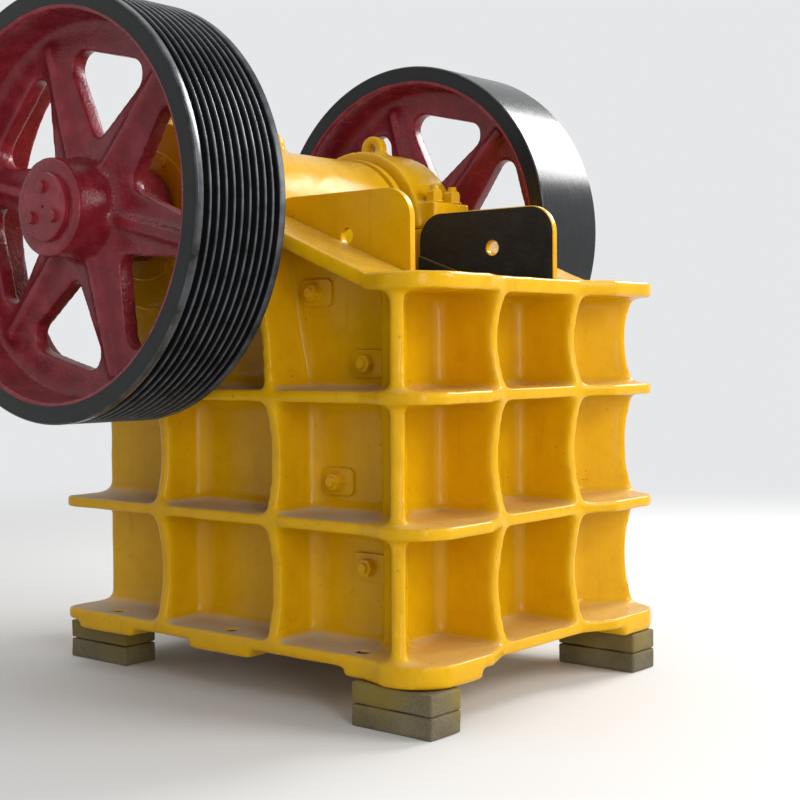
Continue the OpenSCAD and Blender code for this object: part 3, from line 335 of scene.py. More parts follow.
def fired_brick():
    """Old clay bricks: a rough sandy face, pale mortar dust, and patches of yellow paint sprayed over it."""
    material, tree, shader, place = new_material("dusty fired clay brick")
    # stains of about 110 mm, grit of 4 mm, drawn coarse to show, and sprayed patches of 180 mm
    big = add(tree, NOISE, {"Vector": place, "Scale": 9.0, "Detail": 7.0}).outputs[0]
    fine = add(tree, NOISE, {"Vector": place, "Scale": 260.0, "Detail": 5.0}).outputs[0]
    mist = add(tree, NOISE, {"Vector": place, "Scale": 5.5, "Detail": 4.0}).outputs[0]
    height = add(tree, "ShaderNodeSeparateXYZ", {"Vector": place}).outputs["Z"]
    clay = add(tree, "ShaderNodeValToRGB", {"Fac": big},
               [(0.3, "#3d3931"), (0.5, "#5c5545"), (0.7, "#736b57")])
    grit = add(tree, "ShaderNodeValToRGB", {"Fac": fine}, [(0.35, "#383329"), (0.6, "#857b62")])
    bare = add(tree, MIX, {FACTOR: 0.3, FIRST: clay.outputs[0], SECOND: grit.outputs[0]}, data_type="RGBA")
    # the upper layer, just under the painted flange, has caught most of the paint
    patchy = add(tree, RANGE, {"Value": mist, "From Min": 0.4, "From Max": 0.56,
                               "To Min": 0.2, "To Max": 0.8})
    upper = add(tree, RANGE, {"Value": height, "From Min": 30 * MM, "From Max": 70 * MM, "To Min": 0.35})
    sprayed = add(tree, MATH, {0: patchy.outputs[0], 1: upper.outputs[0]}, operation="MULTIPLY").outputs[0]
    seen = add(tree, MIX, {FACTOR: sprayed, FIRST: bare.outputs[MIXED], SECOND: colour("#7d6913")},
               data_type="RGBA").outputs[MIXED]
    tree.links.new(seen, shader.inputs["Base Color"])
    shader.inputs["Roughness"].default_value = 0.92
    bump = add(tree, BUMP, {"Height": fine, "Strength": 0.7, "Distance": 1.5 * MM})
    tree.links.new(bump.outputs["Normal"], shader.inputs["Normal"])
    return material


YELLOW = enamel_on_casting(
    "golden enamel on sand casting",
    main="#d3a008", pale="#d7a50c", deep="#ca9608", grime_and_shade="#6f5208", dusty="#b3a898",
    gloss=0.12, shine=0.17, grain_mm=4.5, grain=0.35, dust_most=0.9)
CRIMSON = enamel_on_casting(
    "crimson enamel on sand casting",
    main="#801f29", pale="#9c3641", deep="#681822", grime_and_shade="#360b10", dusty="#7c5a52",
    gloss=0.2, shine=0.35, grain_mm=7.0, grain=1.0, dust_most=0.45)
BLACK_IRON = enamel_on_casting(
    "thin black paint on cast manganese steel",
    main="#1d1d1f", pale="#29292a", deep="#141416", grime_and_shade="#0e0d0d", dusty="#4d4a44",
    gloss=0.42, shine=0.3, grain_mm=5.0, grain=0.6, dust_most=0.5)
BLACK_RIM = black_rim_enamel()
STEEL = oiled_steel()
BRICK = fired_brick()


# Meshes


def linked(name, data):
    """A new object in the scene."""
    thing = bpy.data.objects.new(name, data)
    bpy.context.scene.collection.objects.link(thing)
    return thing


def mesh_object(name, mesh, materials, body, replaced=()):
    """A finished piece: its mesh, materials, the body it moves with and the nodes it stands for."""
    piece = linked(name, mesh)
    for material in materials:
        mesh.materials.append(material)
    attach(piece, body)
    if replaced:
        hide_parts(*replaced)
    return piece


def mesh_of(shape, name):
    """A new mesh with the shape, which is freed."""
    mesh = bpy.data.meshes.new(name)
    shape.to_mesh(mesh)
    shape.free()
    return mesh


def joined(names, extra=None):
    """The named nodes' meshes as one new mesh, with their doubles merged, and an extra mesh beside them."""
    shape = bmesh.new()
    for name in names:
        shape.from_mesh(NODES[name].data)
    bmesh.ops.remove_doubles(shape, verts=shape.verts, dist=0.02 * MM)
    if extra:
        shape.from_mesh(extra)
    return mesh_of(shape, "joined")


def evaluated(carrier):
    """The mesh that the carrier's modifier makes; the carrier goes."""
    graph = bpy.context.evaluated_depsgraph_get()
    result = bpy.data.meshes.new_from_object(carrier.evaluated_get(graph))
    bpy.data.objects.remove(carrier)
    return result


def modified(mesh, kind, **settings):
    """The mesh after one modifier."""
    carrier = linked("carrier", mesh)
    modifier = carrier.modifiers.new("change", kind)
    for name, value in settings.items():
        setattr(modifier, name, value)
    return evaluated(carrier)


def set_attribute(mesh, name, values):
    """Keeps one number for each point of the mesh, which a material reads by its name."""
    layer = mesh.attributes.new(name, "FLOAT", "POINT")
    layer.data.foreach_set("value", values.astype(np.float32))


def vertex_places(mesh):
    """The mesh's points as rows of X, Y and Z."""
    places = np.zeros(len(mesh.vertices) * 3)
    mesh.vertices.foreach_get("co", places)
    return places.reshape(-1, 3)


def corner_normals(places, corners):
    """The outward direction at each point, from the triangles that meet there."""
    a, b, c = (places[corners[:, k]] for k in range(3))
    faces = np.cross(b - a, c - a)
    normals = np.stack([sum(np.bincount(corners[:, k], faces[:, axis], len(places)) for k in range(3))
                        for axis in range(3)], 1)
    return normals / np.maximum(np.linalg.norm(normals, axis=1, keepdims=True), 1e-12)


def dents(places, depth):
    """How far each point lies below an even skin: waves of 70 to 300 mm, in places as deep as depth."""
    chance = np.random.default_rng(7)
    waves, usual_peak = 24, 6
    swell = np.zeros(len(places))
    for _ in range(waves):
        direction = chance.normal(size=3)
        wavelength = chance.uniform(70 * MM, 300 * MM)
        direction *= 2 * math.pi / (wavelength * np.linalg.norm(direction))
        swell += np.sin(places @ direction + chance.uniform(0, 6.28))
    return depth * np.abs(swell) / usual_peak


def soften(mesh, rounds, convex, unevenness):
    """Fills inner corners with cast fillets, rounds outer corners less, by the share convex, and dents it.

    It keeps how far each point moved as the attributes crease and wear, which hold grime with
    painted shade in the hollows, and worn paint with a painted sheen on the corners.
    """
    places = vertex_places(mesh)
    count = len(places)
    edges = np.zeros(len(mesh.edges) * 2, np.int64)
    mesh.edges.foreach_get("vertices", edges)
    start, end = edges.reshape(-1, 2).T
    degree = np.maximum(np.bincount(start, minlength=count) + np.bincount(end, minlength=count), 1)
    mesh.calc_loop_triangles()
    corners = np.zeros(len(mesh.loop_triangles) * 3, np.int64)
    mesh.loop_triangles.foreach_get("vertices", corners)
    corners = corners.reshape(-1, 3)
    filled = np.zeros(count)
    worn = np.zeros(count)
    for step in range(rounds):
        # the normals hardly turn in three rounds
        if step % 3 == 0:
            normals = corner_normals(places, corners)
        near = np.stack([np.bincount(start, places[end, axis], count)
                         + np.bincount(end, places[start, axis], count) for axis in range(3)], 1)
        pull = near / degree[:, None] - places
        outward = np.einsum("ij,ij->i", pull, normals)
        share = np.where(outward > 0, 0.5, 0.5 * convex)
        moved = pull * share[:, None]
        places += moved
        along = np.einsum("ij,ij->i", moved, normals)
        filled += np.maximum(along, 0)
        worn += np.maximum(-along, 0)
    places -= normals * dents(places, unevenness)[:, None]
    mesh.vertices.foreach_set("co", places.ravel())
    set_attribute(mesh, "crease", np.clip(filled / FULL_CREASE, 0, 1))
    set_attribute(mesh, "wear", np.clip(worn / FULL_WEAR, 0, 1))
    mesh.update()
    return mesh


def cast_skin(names, grid, rounds, convex, unevenness, extra=None):
    """The named nodes as one casting, with fillets, rounded rims and the attributes of soften()."""
    skin = modified(joined(names, extra), "REMESH", mode="VOXEL", voxel_size=grid, use_smooth_shade=True)
    return soften(skin, rounds, convex, unevenness)


def lightened(mesh, most):
    """The mesh with its flat places drawn in fewer, larger faces, so that it keeps to most triangles."""
    mesh.calc_loop_triangles()
    share = most / len(mesh.loop_triangles)
    if share >= 1:
        return mesh
    lighter = modified(mesh, "DECIMATE", decimate_type="COLLAPSE", ratio=share)
    lighter.shade_smooth()
    return lighter


def beveled(node, width):
    """The node with its sharp edges broken."""
    mesh = joined([node])
    shape = bmesh.new()
    shape.from_mesh(mesh)
    bmesh.ops.dissolve_limit(shape, angle_limit=math.radians(0.5), verts=shape.verts, edges=shape.edges)
    shape.to_mesh(mesh)
    shape.free()
    result = modified(mesh, "BEVEL", width=width, segments=2, limit_method="ANGLE",
                      angle_limit=math.radians(32), use_clamp_overlap=True)
    result.shade_smooth()
    result.set_sharp_from_angle(angle=math.radians(22))
    return result


def carved(mesh, tool, operation):
    """The mesh cut by, or cut down to, another closed mesh."""
    holder = linked("tool", tool)
    result = modified(mesh, "BOOLEAN", operation=operation, solver="MANIFOLD", object=holder)
    bpy.data.objects.remove(holder)
    result.materials.clear()
    result.shade_smooth()
    result.set_sharp_from_angle(angle=math.radians(55))
    return result


def pins(places, radius, depth, axis, steps=48):
    """Closed round bars along an axis, each centred on its place, as one mesh."""
    shape = bmesh.new()
    turn = Vector((0, 0, 1)).rotation_difference(axis).to_matrix().to_4x4()
    for place in places:
        bmesh.ops.create_cone(shape, cap_ends=True, segments=steps, radius1=radius, radius2=radius,
                              depth=depth, matrix=Matrix.Translation(place) @ turn)
    return mesh_of(shape, "pins")


def block(low, high):
    """A closed block between two corners, to cut with."""
    shape = bmesh.new()
    bmesh.ops.create_cube(shape, size=1.0, matrix=Matrix.Translation((low + high) / 2)
                          @ Matrix.Diagonal((*(high - low), 1.0)))
    return mesh_of(shape, "block")


# Geometry Nodes trees


def node_tree(name, inputs):
    """An empty tree with its named inputs, and the sockets that they come in on."""
    tree = bpy.data.node_groups.new(name, "GeometryNodeTree")
    for label, kind in inputs.items():
        tree.interface.new_socket(label, in_out="INPUT", socket_type=kind)
    tree.interface.new_socket("Result", in_out="OUTPUT", socket_type="NodeSocketGeometry")
    return tree, add(tree, "NodeGroupInput").outputs


def grown(mesh, tree, values):
    """The mesh that a tree makes out of a start mesh with these values for its inputs."""
    carrier = linked("carrier", mesh)
    modifier = carrier.modifiers.new("grow", "NODES")
    modifier.node_group = tree
    for item in tree.interface.items_tree:
        if item.in_out == "INPUT" and item.name in values:
            modifier[item.identifier] = values[item.name]
    return evaluated(carrier)


def finished(tree, shape, material, smooth):
    """Ends a tree: its shape as real faces with their shading and material, which the mesh keeps."""
    real = add(tree, "GeometryNodeRealizeInstances", {"Geometry": shape})
    shaded = add(tree, "GeometryNodeSetShadeSmooth", {"Geometry": real.outputs[0], "Shade Smooth": smooth})
    painted = add(tree, "GeometryNodeSetMaterial", {"Geometry": shaded.outputs[0], "Material": material})
    add(tree, "NodeGroupOutput", {"Result": painted.outputs[0]})
    return tree


def bolt_tree():
    """Hexagon bolts with a chamfered head, a washer and a stud's end, one on each point, turned at random."""
    size = "NodeSocketFloat"
    tree, given = node_tree("hexagon bolts", {
        "Seats": "NodeSocketGeometry", "Axis": "NodeSocketVector", "Width": size, "Height": size,
        "Washer width": size, "Washer height": size, "Stud width": size, "Stud height": size,
        "Paint": "NodeSocketMaterial"})

    def maths(operation, first, second):
        return add(tree, MATH, {0: first, 1: second}, operation=operation).outputs[0]

    corner_r = maths("DIVIDE", given["Width"], math.sqrt(3))
    washer_r = maths("MULTIPLY", given["Washer width"], 0.5)
    stud_r = maths("MULTIPLY", given["Stud width"], 0.5)
    washer_top = given["Washer height"]
    flats = maths("MULTIPLY", given["Height"], 0.8)
    chamfer = maths("MULTIPLY", given["Height"], 0.2)
    flats_top = maths("ADD", washer_top, flats)
    head_top = maths("ADD", washer_top, given["Height"])
    bolt = add(tree, "GeometryNodeJoinGeometry")
    for sides, radius, top_share, height, foot in (
            (32, washer_r, 0.97, washer_top, 0.0),
            (6, corner_r, 1.0, flats, washer_top),
            (6, corner_r, 0.84, chamfer, flats_top),
            (20, stud_r, 0.85, given["Stud height"], head_top)):
        cone = add(tree, "GeometryNodeMeshCone", {
            "Vertices": sides, "Radius Bottom": radius, "Radius Top": maths("MULTIPLY", radius, top_share),
            "Depth": height}).outputs["Mesh"]
        lift = add(tree, "ShaderNodeCombineXYZ", {"Z": foot}).outputs[0]
        layer = add(tree, "GeometryNodeTransform", {"Geometry": cone, "Translation": lift}).outputs[0]
        tree.links.new(layer, bolt.inputs[0])
    turn = add(tree, "FunctionNodeAlignRotationToVector", {"Vector": given["Axis"]}, axis="Z").outputs[0]
    placed = add(tree, "GeometryNodeInstanceOnPoints", {
        "Points": given["Seats"], "Instance": bolt.outputs[0], "Rotation": turn}).outputs[0]
    chance = add(tree, "FunctionNodeRandomValue", {"Max": math.pi / 3, "Seed": 5}, data_type="FLOAT")
    number = [socket for socket in chance.outputs if socket.enabled][0]
    spin = add(tree, "ShaderNodeCombineXYZ", {"Z": number}).outputs[0]
    turned = add(tree, "GeometryNodeRotateInstances", {"Instances": placed, "Rotation": spin}).outputs[0]
    return finished(tree, turned, given["Paint"], False)


def wire_tree():
    """Round wire along a path, closed at its ends."""
    tree, given = node_tree("round wire", {
        "Path": "NodeSocketGeometry", "Wire radius": "NodeSocketFloat", "Paint": "NodeSocketMaterial"})
    path = add(tree, "GeometryNodeMeshToCurve", {"Mesh": given["Path"]}).outputs[0]
    section = add(tree, "GeometryNodeCurvePrimitiveCircle", {
        "Resolution": 16, "Radius": given["Wire radius"]}).outputs[0]
    wire = add(tree, "GeometryNodeCurveToMesh", {
        "Curve": path, "Profile Curve": section, "Fill Caps": True}).outputs[0]
    return finished(tree, wire, given["Paint"], True)


BOLTS = bolt_tree()
WIRE = wire_tree()


def hexagon_bolts(name, seats, axis, paint, body, sizes, replaced=()):
    """Bolts or nuts on their seats, as one piece."""
    points = bpy.data.meshes.new("seats")
    points.from_pydata([tuple(seat) for seat in seats], [], [])
    mesh = grown(points, BOLTS, {**sizes, "Axis": tuple(axis), "Paint": paint})
    mesh_object(name, mesh, [], body, replaced)


# Frame


def bar(shape, points, radius, sides):
    """Adds a closed bar along a path; with four sides its edges point along the axes."""
    angles = [2 * math.pi * i / sides for i in range(sides)]
    rings = []
    for k, point in enumerate(points):
        ahead = (points[min(k + 1, len(points) - 1)] - points[max(k - 1, 0)]).normalized()
        turn = UP.rotation_difference(ahead).to_matrix()
        corners = [turn @ (Vector((math.cos(angle), math.sin(angle), 0)) * radius) for angle in angles]
        rings.append([shape.verts.new(point + corner) for corner in corners])
    for first, second in zip(rings, rings[1:]):
        for i in range(sides):
            j = (i + 1) % sides
            shape.faces.new((first[i], first[j], second[j], second[i]))
    shape.faces.new(rings[0][::-1])
    shape.faces.new(rings[-1])


def above_feet(x, y, height):
    """The place at an X, a distance along the machine from the shaft, and a height above the feet."""
    return Vector((x, SHAFT.y + y, FEET + height))


def rib_beads(shape):
    """Adds the round beads along the ribs' hollow edges, tier by tier."""
    ribs = [(Vector((0, -1)), Vector((side * FRONT_RIB_X, FRONT_RIB_EDGE_Y)), ALL_TIERS)
            for side in (LEFT, RIGHT)]
    ribs += [(Vector((side, 0)), Vector((side * SIDE_RIB_EDGE_X, y)), SIDE_RIB_TIERS)
             for side in (LEFT, RIGHT) for y, _ in SIDE_RIBS]
    ribs += [(CORNER_RIB_OUTWARD * Vector((side, 1)), CORNER_RIB_EDGE * Vector((side, 1)), ALL_TIERS)
             for side in (LEFT, RIGHT)]
    for tier, (foot, head) in enumerate(zip(SHELF_TOPS, SHELF_UNDERSIDES + [FRONT_FLANGE_UNDERSIDE])):
        for outward, edge, tiers in ribs:
            if tier >= tiers:
                continue
            points = []
            for k in range(BEAD_STEPS + 1):
                share = k / BEAD_STEPS
                inset = RIB_HOLLOW * 4 * share * (1 - share) + RIB_BEAD_R
                height = foot + (head - foot) * share
                points.append(above_feet(edge.x - outward.x * inset, edge.y - outward.y * inset, height))
            bar(shape, points, RIB_BEAD_R, sides=12)


def cast_roots(shape):
    """Adds bars along the roots of ribs and shelves, which the softening turns into broad cast fillets."""
    foot, top = SHELF_TOPS[0] - SHELF_ROOT, FRONT_FLANGE_UNDERSIDE + SHELF_ROOT
    heights = SHELF_TOPS + SHELF_UNDERSIDES
    for side in (LEFT, RIGHT):
        wall = side * WALL_FACE_X
        for edge in (-RIB_HALF_T, RIB_HALF_T):
            roots = [(side * FRONT_RIB_X + edge, FRONT_FACE_Y, top)]
            roots += [(wall, y + edge, root_top) for y, root_top in SIDE_RIBS]
            for x, y, head in roots:
                bar(shape, [above_feet(x, y, foot), above_feet(x, y, head)], RIB_ROOT, sides=4)
        x, y = wall + side * CORNER_RIB_INSET, FRONT_FACE_Y - CORNER_RIB_INSET
        bar(shape, [above_feet(x, y, foot), above_feet(x, y, top)], CORNER_ROOT, sides=12)
        for height in heights:
            ends = [above_feet(wall, y, height) for y in (FRONT_FACE_Y, REAR_FACE_Y)]
            bar(shape, ends, SHELF_ROOT, sides=4)
    for y, levels in ((FRONT_FACE_Y, heights + [FRONT_FLANGE_UNDERSIDE]), (REAR_FACE_Y, heights)):
        for height in levels:
            ends = [above_feet(x, y, height) for x in (-WALL_FACE_X, WALL_FACE_X)]
            bar(shape, ends, SHELF_ROOT, sides=4)


def frame_casting():
    """The four walls as one casting, in two halves that meet in the middle of the machine."""
    walls = ["side_wall_left", "side_wall_right", "front_wall", "rear_wall"]
    shape = bmesh.new()
    rib_beads(shape)
    cast_roots(shape)
    whole = cast_skin(walls, FRAME_GRID, rounds=32, convex=0.13, unevenness=1.0 * MM,
                      extra=mesh_of(shape, "beads and roots"))
    whole = lightened(whole, FRAME_TRIANGLES)
    holes = [above_feet(side * FOOT_HOLE_X, y, 0) for side in (LEFT, RIGHT) for y in FOOT_HOLE_Y]
    whole = carved(whole, pins(holes, FOOT_HOLE_R, 200 * MM, UP), "DIFFERENCE")
    # how far the halves' cutting blocks reach past the machine, and under it
    beyond, below = 3.0, 1.0
    for side, word in ((LEFT, "left"), (RIGHT, "right")):
        far = side * beyond
        half_space = block(Vector((min(0, far), -beyond, -below)), Vector((max(0, far), beyond, beyond)))
        half = carved(whole.copy(), half_space, "INTERSECT")
        nodes = walls[:1] + walls[2:] if side == LEFT else walls[1:2]
        piece = mesh_object(f"frame_casting_{word}_half", half, [YELLOW, BLACK_IRON],
                            "frame", nodes)
        # the walls of the foundation holes get the black paint as painted shade, so that the holes look dark
        # inside
        for face in piece.data.polygons:
            near = min((face.center - hole).to_2d().length for hole in holes)
            if near < 1.02 * FOOT_HOLE_R and face.center.z < FOOT_HOLE_SHADE_TOP:
                face.material_index = 1


def bearings():
    """Caps with their nuts, seal rings, and the outer covers with their bolts."""
    for side, word in ((LEFT, "left"), (RIGHT, "right")):
        cap = cast_skin([f"bearing_cap_{word}"], CAP_GRID, rounds=14, convex=0.3, unevenness=0.5 * MM)
        mesh_object(f"bearing_cap_casting_{word}", lightened(cap, CAP_TRIANGLES), [YELLOW],
                    "frame", [f"bearing_cap_{word}"])
        mesh_object(f"finished_seal_ring_{word}", beveled(f"seal_ring_{word}", 2 * MM), [YELLOW],
                    "frame", [f"seal_ring_{word}"])
        flange_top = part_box(f"cap_bolts_{word}")[0].z
        seats = [Vector((side * x, SHAFT.y + y, flange_top))
                 for x in CAP_BOLT_X for y in (-CAP_BOLT_Y, CAP_BOLT_Y)]
        hexagon_bolts(f"cap_bolt_nuts_{word}", seats, UP, YELLOW, "frame",
                      {"Width": 46 * MM, "Height": 32 * MM, "Washer width": 56 * MM, "Washer height": 4 * MM,
                       "Stud width": 29 * MM, "Stud height": 14 * MM}, [f"cap_bolts_{word}"])
        face = COVER_X + COVER_T
        chamfer = 3 * MM
        cover = lathe([(COVER_X, COVER_BORE_R, 0), (COVER_X, COVER_R, 0), (face - chamfer, COVER_R, 0),
                       (face, COVER_R - chamfer, 0.5), (face, COVER_BORE_R + 4 * MM, 0.3),
                       (face - chamfer, COVER_BORE_R, 0)], side, steps=96)
        mesh_object(f"bearing_cover_plate_{word}", cover, [YELLOW], "frame",
                    [f"bearing_cover_{word}"])
        angles = [math.pi / 2 - 2 * math.pi * (k + 0.5) / COVER_BOLTS for k in range(COVER_BOLTS)]
        seats = [about_shaft(side * face, COVER_BOLT_CIRCLE_R, angle) for angle in angles]
        hexagon_bolts(f"cover_bolts_{word}", seats, Vector((side, 0, 0)), YELLOW, "frame",
                      {"Width": 22 * MM, "Height": 6 * MM, "Washer width": 27 * MM, "Washer height": 0.8 * MM,
                       "Stud width": 8 * MM, "Stud height": 0.2 * MM})


# Wheels


def about_shaft(x, radius, angle):
    """A place on a circle round the shaft, at an angle that turns from +Y towards +Z."""
    return Vector((x, SHAFT.y + radius * math.cos(angle), SHAFT.z + radius * math.sin(angle)))


def lathe(profile, side, steps):
    """Turns a closed profile of (X, radius, wear) points about the shaft, with X outwards on that side."""
    shape = bmesh.new()
    wear = shape.verts.layers.float.new("wear")
    rings = []
    for k in range(steps):
        angle = 2 * math.pi * k / steps
        ring = []
        for x, radius, worn in profile:
            vertex = shape.verts.new(about_shaft(side * x, radius, angle))
            vertex[wear] = worn
            ring.append(vertex)
        rings.append(ring)
    for k in range(steps):
        a, b = rings[k], rings[(k + 1) % steps]
        for i in range(len(profile)):
            j = (i + 1) % len(profile)
            shape.faces.new((a[i], a[j], b[j], b[i]))
    bmesh.ops.recalc_face_normals(shape, faces=shape.faces)
    mesh = mesh_of(shape, "turned")
    mesh.shade_smooth()
    mesh.set_sharp_from_angle(angle=math.radians(35))
    return mesh


def rim_profile(grooved):
    """Outline of a rim's black band as (X, radius, wear): from its inner corner round the tread and back."""
    chamfer = 3 * MM
    inset = 3 * MM
    fade = 3 * MM
    floor_r = WHEEL_R - GROOVE_DEPTH
    points = [(WHEEL_IN + inset, BLACK_FROM_R, 0), (WHEEL_IN, BLACK_FROM_R + inset, 0),
              (WHEEL_IN, WHEEL_R - chamfer - fade, 0), (WHEEL_IN, WHEEL_R - chamfer, 0.7),
              (WHEEL_IN + chamfer, WHEEL_R, 0.7)]
    if grooved:
        middle = WHEEL_IN + WHEEL_W / 2
        lip = 1.0 * MM
        for k in range(GROOVES):
            centre = middle + (k - (GROOVES - 1) / 2) * GROOVE_PITCH
            half = GROOVE_W / 2
            points += [(centre - half - lip, WHEEL_R, 1), (centre - half + lip / 2, WHEEL_R - lip, 0.8),
                       (centre - half + 2 * lip, WHEEL_R - 4 * lip, 0),
                       (centre - GROOVE_FLOOR_W / 2, floor_r, 0), (centre + GROOVE_FLOOR_W / 2, floor_r, 0),
                       (centre + half - 2 * lip, WHEEL_R - 4 * lip, 0),
                       (centre + half - lip / 2, WHEEL_R - lip, 0.8), (centre + half + lip, WHEEL_R, 1)]
    else:
        points += [(WHEEL_IN + chamfer + fade, WHEEL_R, 0), (WHEEL_OUT - chamfer - fade, WHEEL_R, 0)]
    points += [(WHEEL_OUT - chamfer, WHEEL_R, 0.7), (WHEEL_OUT, WHEEL_R - chamfer, 0.7),
               (WHEEL_OUT, WHEEL_R - chamfer - fade, 0), (WHEEL_OUT, BLACK_FROM_R + inset, 0),
               (WHEEL_OUT - inset, BLACK_FROM_R, 0)]
    return points


def wheel(node, side):
    """A wheel: its crimson spokes and web, its black rim, and the disc with three bolts that holds it."""
    spider = cast_skin([node], WHEEL_GRID, rounds=60, convex=0.11, unevenness=0.8 * MM)
    spider = lightened(spider, WHEEL_TRIANGLES)
    middle = about_shaft(side * (WHEEL_IN + WHEEL_OUT) / 2, 0, 0)
    inside = pins([middle], BLACK_FROM_R + 4 * MM, 2 * WHEEL_W, Vector((1, 0, 0)), steps=180)
    spider = carved(spider, inside, "INTERSECT")
    mesh_object(f"{node}_spokes_and_web", spider, [CRIMSON], "rotor", [node])
    rim = lathe(rim_profile(grooved=node == "drive_sheave"), side, steps=240)
    mesh_object(f"{node}_black_rim", rim, [BLACK_RIM], "rotor")

    end = "left" if side == LEFT else "right"
    back, face = WHEEL_OUT - 2 * MM, WHEEL_OUT + END_DISC_T
    centre_mark_r, chamfer = 4 * MM, 3 * MM
    disc = lathe([(back, centre_mark_r, 0), (back, END_DISC_R, 0), (face - chamfer, END_DISC_R, 0),
                  (face, END_DISC_R - chamfer, 0.5), (face, centre_mark_r, 0)], side, steps=96)
    mesh_object(f"end_disc_plate_{end}", disc, [CRIMSON], "rotor", [f"end_disc_{end}"])
    seats = [about_shaft(side * face, END_BOLT_CIRCLE_R, math.radians(angle)) for angle in (90, 210, 330)]
    hexagon_bolts(f"end_disc_bolts_{end}", seats, Vector((side, 0, 0)), CRIMSON, "rotor",
                  {"Width": 28 * MM, "Height": 9 * MM, "Washer width": 36 * MM, "Washer height": 2 * MM,
                   "Stud width": 14 * MM, "Stud height": 1 * MM})


# Jaw, lining, toggle, return rod and stand


def swing_jaw():
    """The swing jaw's casting, with its head round the eccentric."""
    jaw = cast_skin(["swing_jaw"], JAW_GRID, rounds=16, convex=0.3, unevenness=0.8 * MM)
    jaw = lightened(jaw, JAW_TRIANGLES)
    mesh_object("swing_jaw_casting", jaw, [YELLOW], "swing_jaw_body", ["swing_jaw"])


def plain_parts():
    """The parts whose form needs only broken edges, with the finish of each."""
    finishes = {
        "eccentric_shaft": STEEL, "toggle_plate": STEEL, "rear_toggle_seat": STEEL,
        "front_toggle_seat": STEEL, "shim_pack": STEEL, "tension_rod": STEEL, "rod_nuts": STEEL,
        "spring_seat": YELLOW, "adjusting_block": YELLOW,
        "swing_jaw_plate": BLACK_IRON, "fixed_jaw_plate": BLACK_IRON, "jaw_wedge": BLACK_IRON,
        "upper_cheek_left": BLACK_IRON, "upper_cheek_right": BLACK_IRON,
        "lower_cheek_left": BLACK_IRON, "lower_cheek_right": BLACK_IRON,
        "cheek_bolts_left": YELLOW, "cheek_bolts_right": YELLOW}
    for node, finish in finishes.items():
        width = 1 * MM if "bolts" in node or "nuts" in node else 2.5 * MM
        mesh_object(f"finished_{node}", beveled(node, width), [finish], NODES[node]["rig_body"],
                    [node])


def guard_plates():
    """Guard plates: yellow outside and on their edges, black towards the chamber."""
    for side, word in ((LEFT, "left"), (RIGHT, "right")):
        mesh = beveled(f"guard_plate_{word}", 3 * MM)
        piece = mesh_object(f"finished_guard_plate_{word}", mesh, [YELLOW, BLACK_IRON],
                            "frame", [f"guard_plate_{word}"])
        for face in piece.data.polygons:
            face.material_index = int(face.normal.x * side < -0.95)


def spring():
    """The return spring: round wire in a helix with a closed turn at either end."""
    low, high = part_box("spring")
    wire_r = 9 * MM
    coil_r = (high.z - low.z) / 2 - wire_r
    turns, steps = 7, 40
    length = high.y - low.y - 2 * wire_r
    close = 2.05 * wire_r
    middle = Vector(((low.x + high.x) / 2, low.y + wire_r, (low.z + high.z) / 2))
    points = []
    for k in range(turns * steps + 1):
        turn = k / steps
        rise = float(np.interp(turn, [0, 1, turns - 1, turns], [0, close, length - close, length]))
        angle = 2 * math.pi * turn
        points.append(tuple(middle + Vector((coil_r * math.cos(angle), rise, -coil_r * math.sin(angle)))))
    path = bpy.data.meshes.new("helix")
    path.from_pydata(points, [(k, k + 1) for k in range(len(points) - 1)], [])
    wire = grown(path, WIRE, {"Wire radius": wire_r, "Paint": YELLOW})
    mesh_object("return_spring_wire", wire, [], "frame", ["spring"])


def bricks():
    """The stand's two layers of bricks, with worn corners."""
    for node in ("lower_bricks", "upper_bricks"):
        skin = cast_skin([node], BRICK_GRID, rounds=5, convex=0.9, unevenness=1.6 * MM)
        mesh_object(f"fired_{node}", skin, [BRICK], "frame", [node])


# Studio

BACKDROP_COLOUR = colour("#e6e7e8")


def shows_backdrop(tree):
    """1 for a ray of the camera, of a reflection or of glass, which sees the backdrop, and otherwise 0."""
    rays = add(tree, "ShaderNodeLightPath").outputs
    seen = add(tree, MATH, {0: rays["Is Camera Ray"], 1: rays["Is Glossy Ray"]}, operation="MAXIMUM")
    return add(tree, MATH, {0: seen.outputs[0], 1: rays["Is Transmission Ray"]},
               operation="MAXIMUM").outputs[0]


def studio_floor():
    """A pale floor that fades into the backdrop."""
    reach = 60.0
    mesh = bpy.data.meshes.new("studio floor")
    mesh.from_pydata([(-reach, -reach, 0), (reach, -reach, 0), (reach, reach, 0), (-reach, reach, 0)],
                     [], [(0, 1, 2, 3)])
    material, tree, shader, place = new_material("pale studio floor")
    shader.inputs["Base Color"].default_value = colour("#d6d5d2")
    shader.inputs["Roughness"].default_value = 0.9
    away = add(tree, "ShaderNodeVectorMath", {0: place}, operation="LENGTH").outputs["Value"]
    far = add(tree, RANGE, {"Value": away, "From Min": 2.2, "From Max": 6.0},
              interpolation_type="SMOOTHSTEP").outputs[0]
    fade = add(tree, MATH, {0: shows_backdrop(tree), 1: far}, operation="MULTIPLY").outputs[0]
    glow = add(tree, "ShaderNodeEmission", {"Color": BACKDROP_COLOUR})
    both = add(tree, "ShaderNodeMixShader", {0: fade, 1: shader.outputs[0], 2: glow.outputs[0]})
    output = [node for node in tree.nodes if node.bl_idname == "ShaderNodeOutputMaterial"][0]
    tree.links.new(both.outputs[0], output.inputs["Surface"])
    mesh.materials.append(material)
    linked("studio floor", mesh)


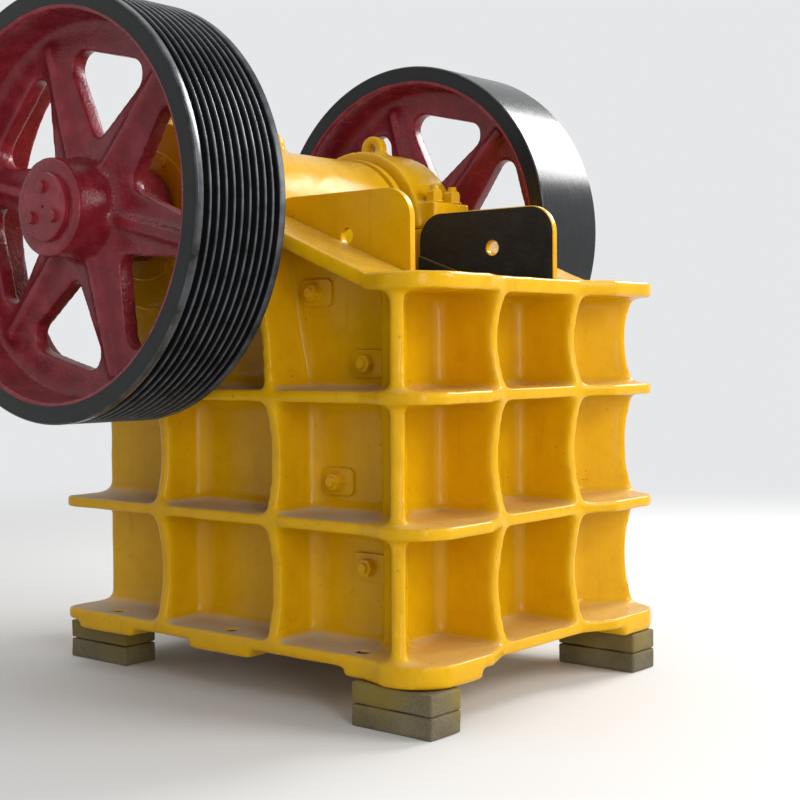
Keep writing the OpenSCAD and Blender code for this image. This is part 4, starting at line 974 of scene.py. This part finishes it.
def studio_sky():
    """A soft sky that lights the machine, behind the backdrop's plain colour."""
    world = bpy.data.worlds.new("studio")
    bpy.context.scene.world = world
    world.use_nodes = True
    tree = world.node_tree
    tree.nodes.clear()
    sky = add(tree, "ShaderNodeBackground", {"Color": colour("#f2f5fa"), "Strength": 0.6})
    backdrop = add(tree, "ShaderNodeBackground", {"Color": BACKDROP_COLOUR, "Strength": 1.0})
    both = add(tree, "ShaderNodeMixShader", {0: shows_backdrop(tree), 1: sky.outputs[0],
                                             2: backdrop.outputs[0]})
    add(tree, "ShaderNodeOutputWorld", {"Surface": both.outputs[0]})


def studio_lamps():
    """Four broad lamps: a key, a brighter one from the right, a tall one on the left, and one above."""
    aim = Vector((0, 0, 0.8))
    for name, place, width, height, power in (
            ("key", Vector((2.6, -5.6, 3.4)), 3.6, 3.2, 270),
            ("bright sky on the right", Vector((4.9, -1.3, 4.3)), 2.6, 2.2, 310),
            ("tall window on the left", Vector((-2.7, -4.3, 1.7)), 1.1, 3.2, 72),
            ("top", Vector((-0.5, 1.6, 5.4)), 3.6, 3.6, 50)):
        lamp = bpy.data.lights.new(name, "AREA")
        lamp.shape = "RECTANGLE"
        lamp.size = width
        lamp.size_y = height
        lamp.energy = power
        holder = linked(name, lamp)
        holder.location = place
        holder.rotation_euler = (aim - place).to_track_quat("-Z", "Y").to_euler()


def camera():
    """The photograph's view: from the left and the front, a little below the shaft's height."""
    focal_pixels = 1460.0
    centre_pixels = (347.7, 394.8)
    picture_pixels = 800.0
    yaw, pitch, roll = 0.858, -0.031, -0.008
    eye = SHAFT + Vector((-3.106, -2.931, -0.358))
    forward = Vector((math.sin(yaw) * math.cos(pitch), math.cos(yaw) * math.cos(pitch), math.sin(pitch)))
    across = Vector((math.cos(yaw), -math.sin(yaw), 0))
    above = across.cross(forward)
    right = math.cos(roll) * across + math.sin(roll) * above
    up = -math.sin(roll) * across + math.cos(roll) * above
    lens = bpy.data.cameras.new("camera")
    lens.sensor_width = 36.0
    lens.lens = focal_pixels / picture_pixels * lens.sensor_width
    lens.shift_x = (picture_pixels / 2 - centre_pixels[0]) / picture_pixels
    lens.shift_y = (centre_pixels[1] - picture_pixels / 2) / picture_pixels
    holder = linked("camera", lens)
    holder.matrix_world = Matrix.Translation(eye) @ Matrix((right, up, -forward)).transposed().to_4x4()
    bpy.context.scene.camera = holder


frame_casting()
bearings()
wheel("drive_sheave", LEFT)
wheel("flywheel", RIGHT)
swing_jaw()
plain_parts()
guard_plates()
spring()
bricks()
studio_floor()
studio_sky()
studio_lamps()
camera()
bpy.context.scene.view_settings.view_transform = "Standard"
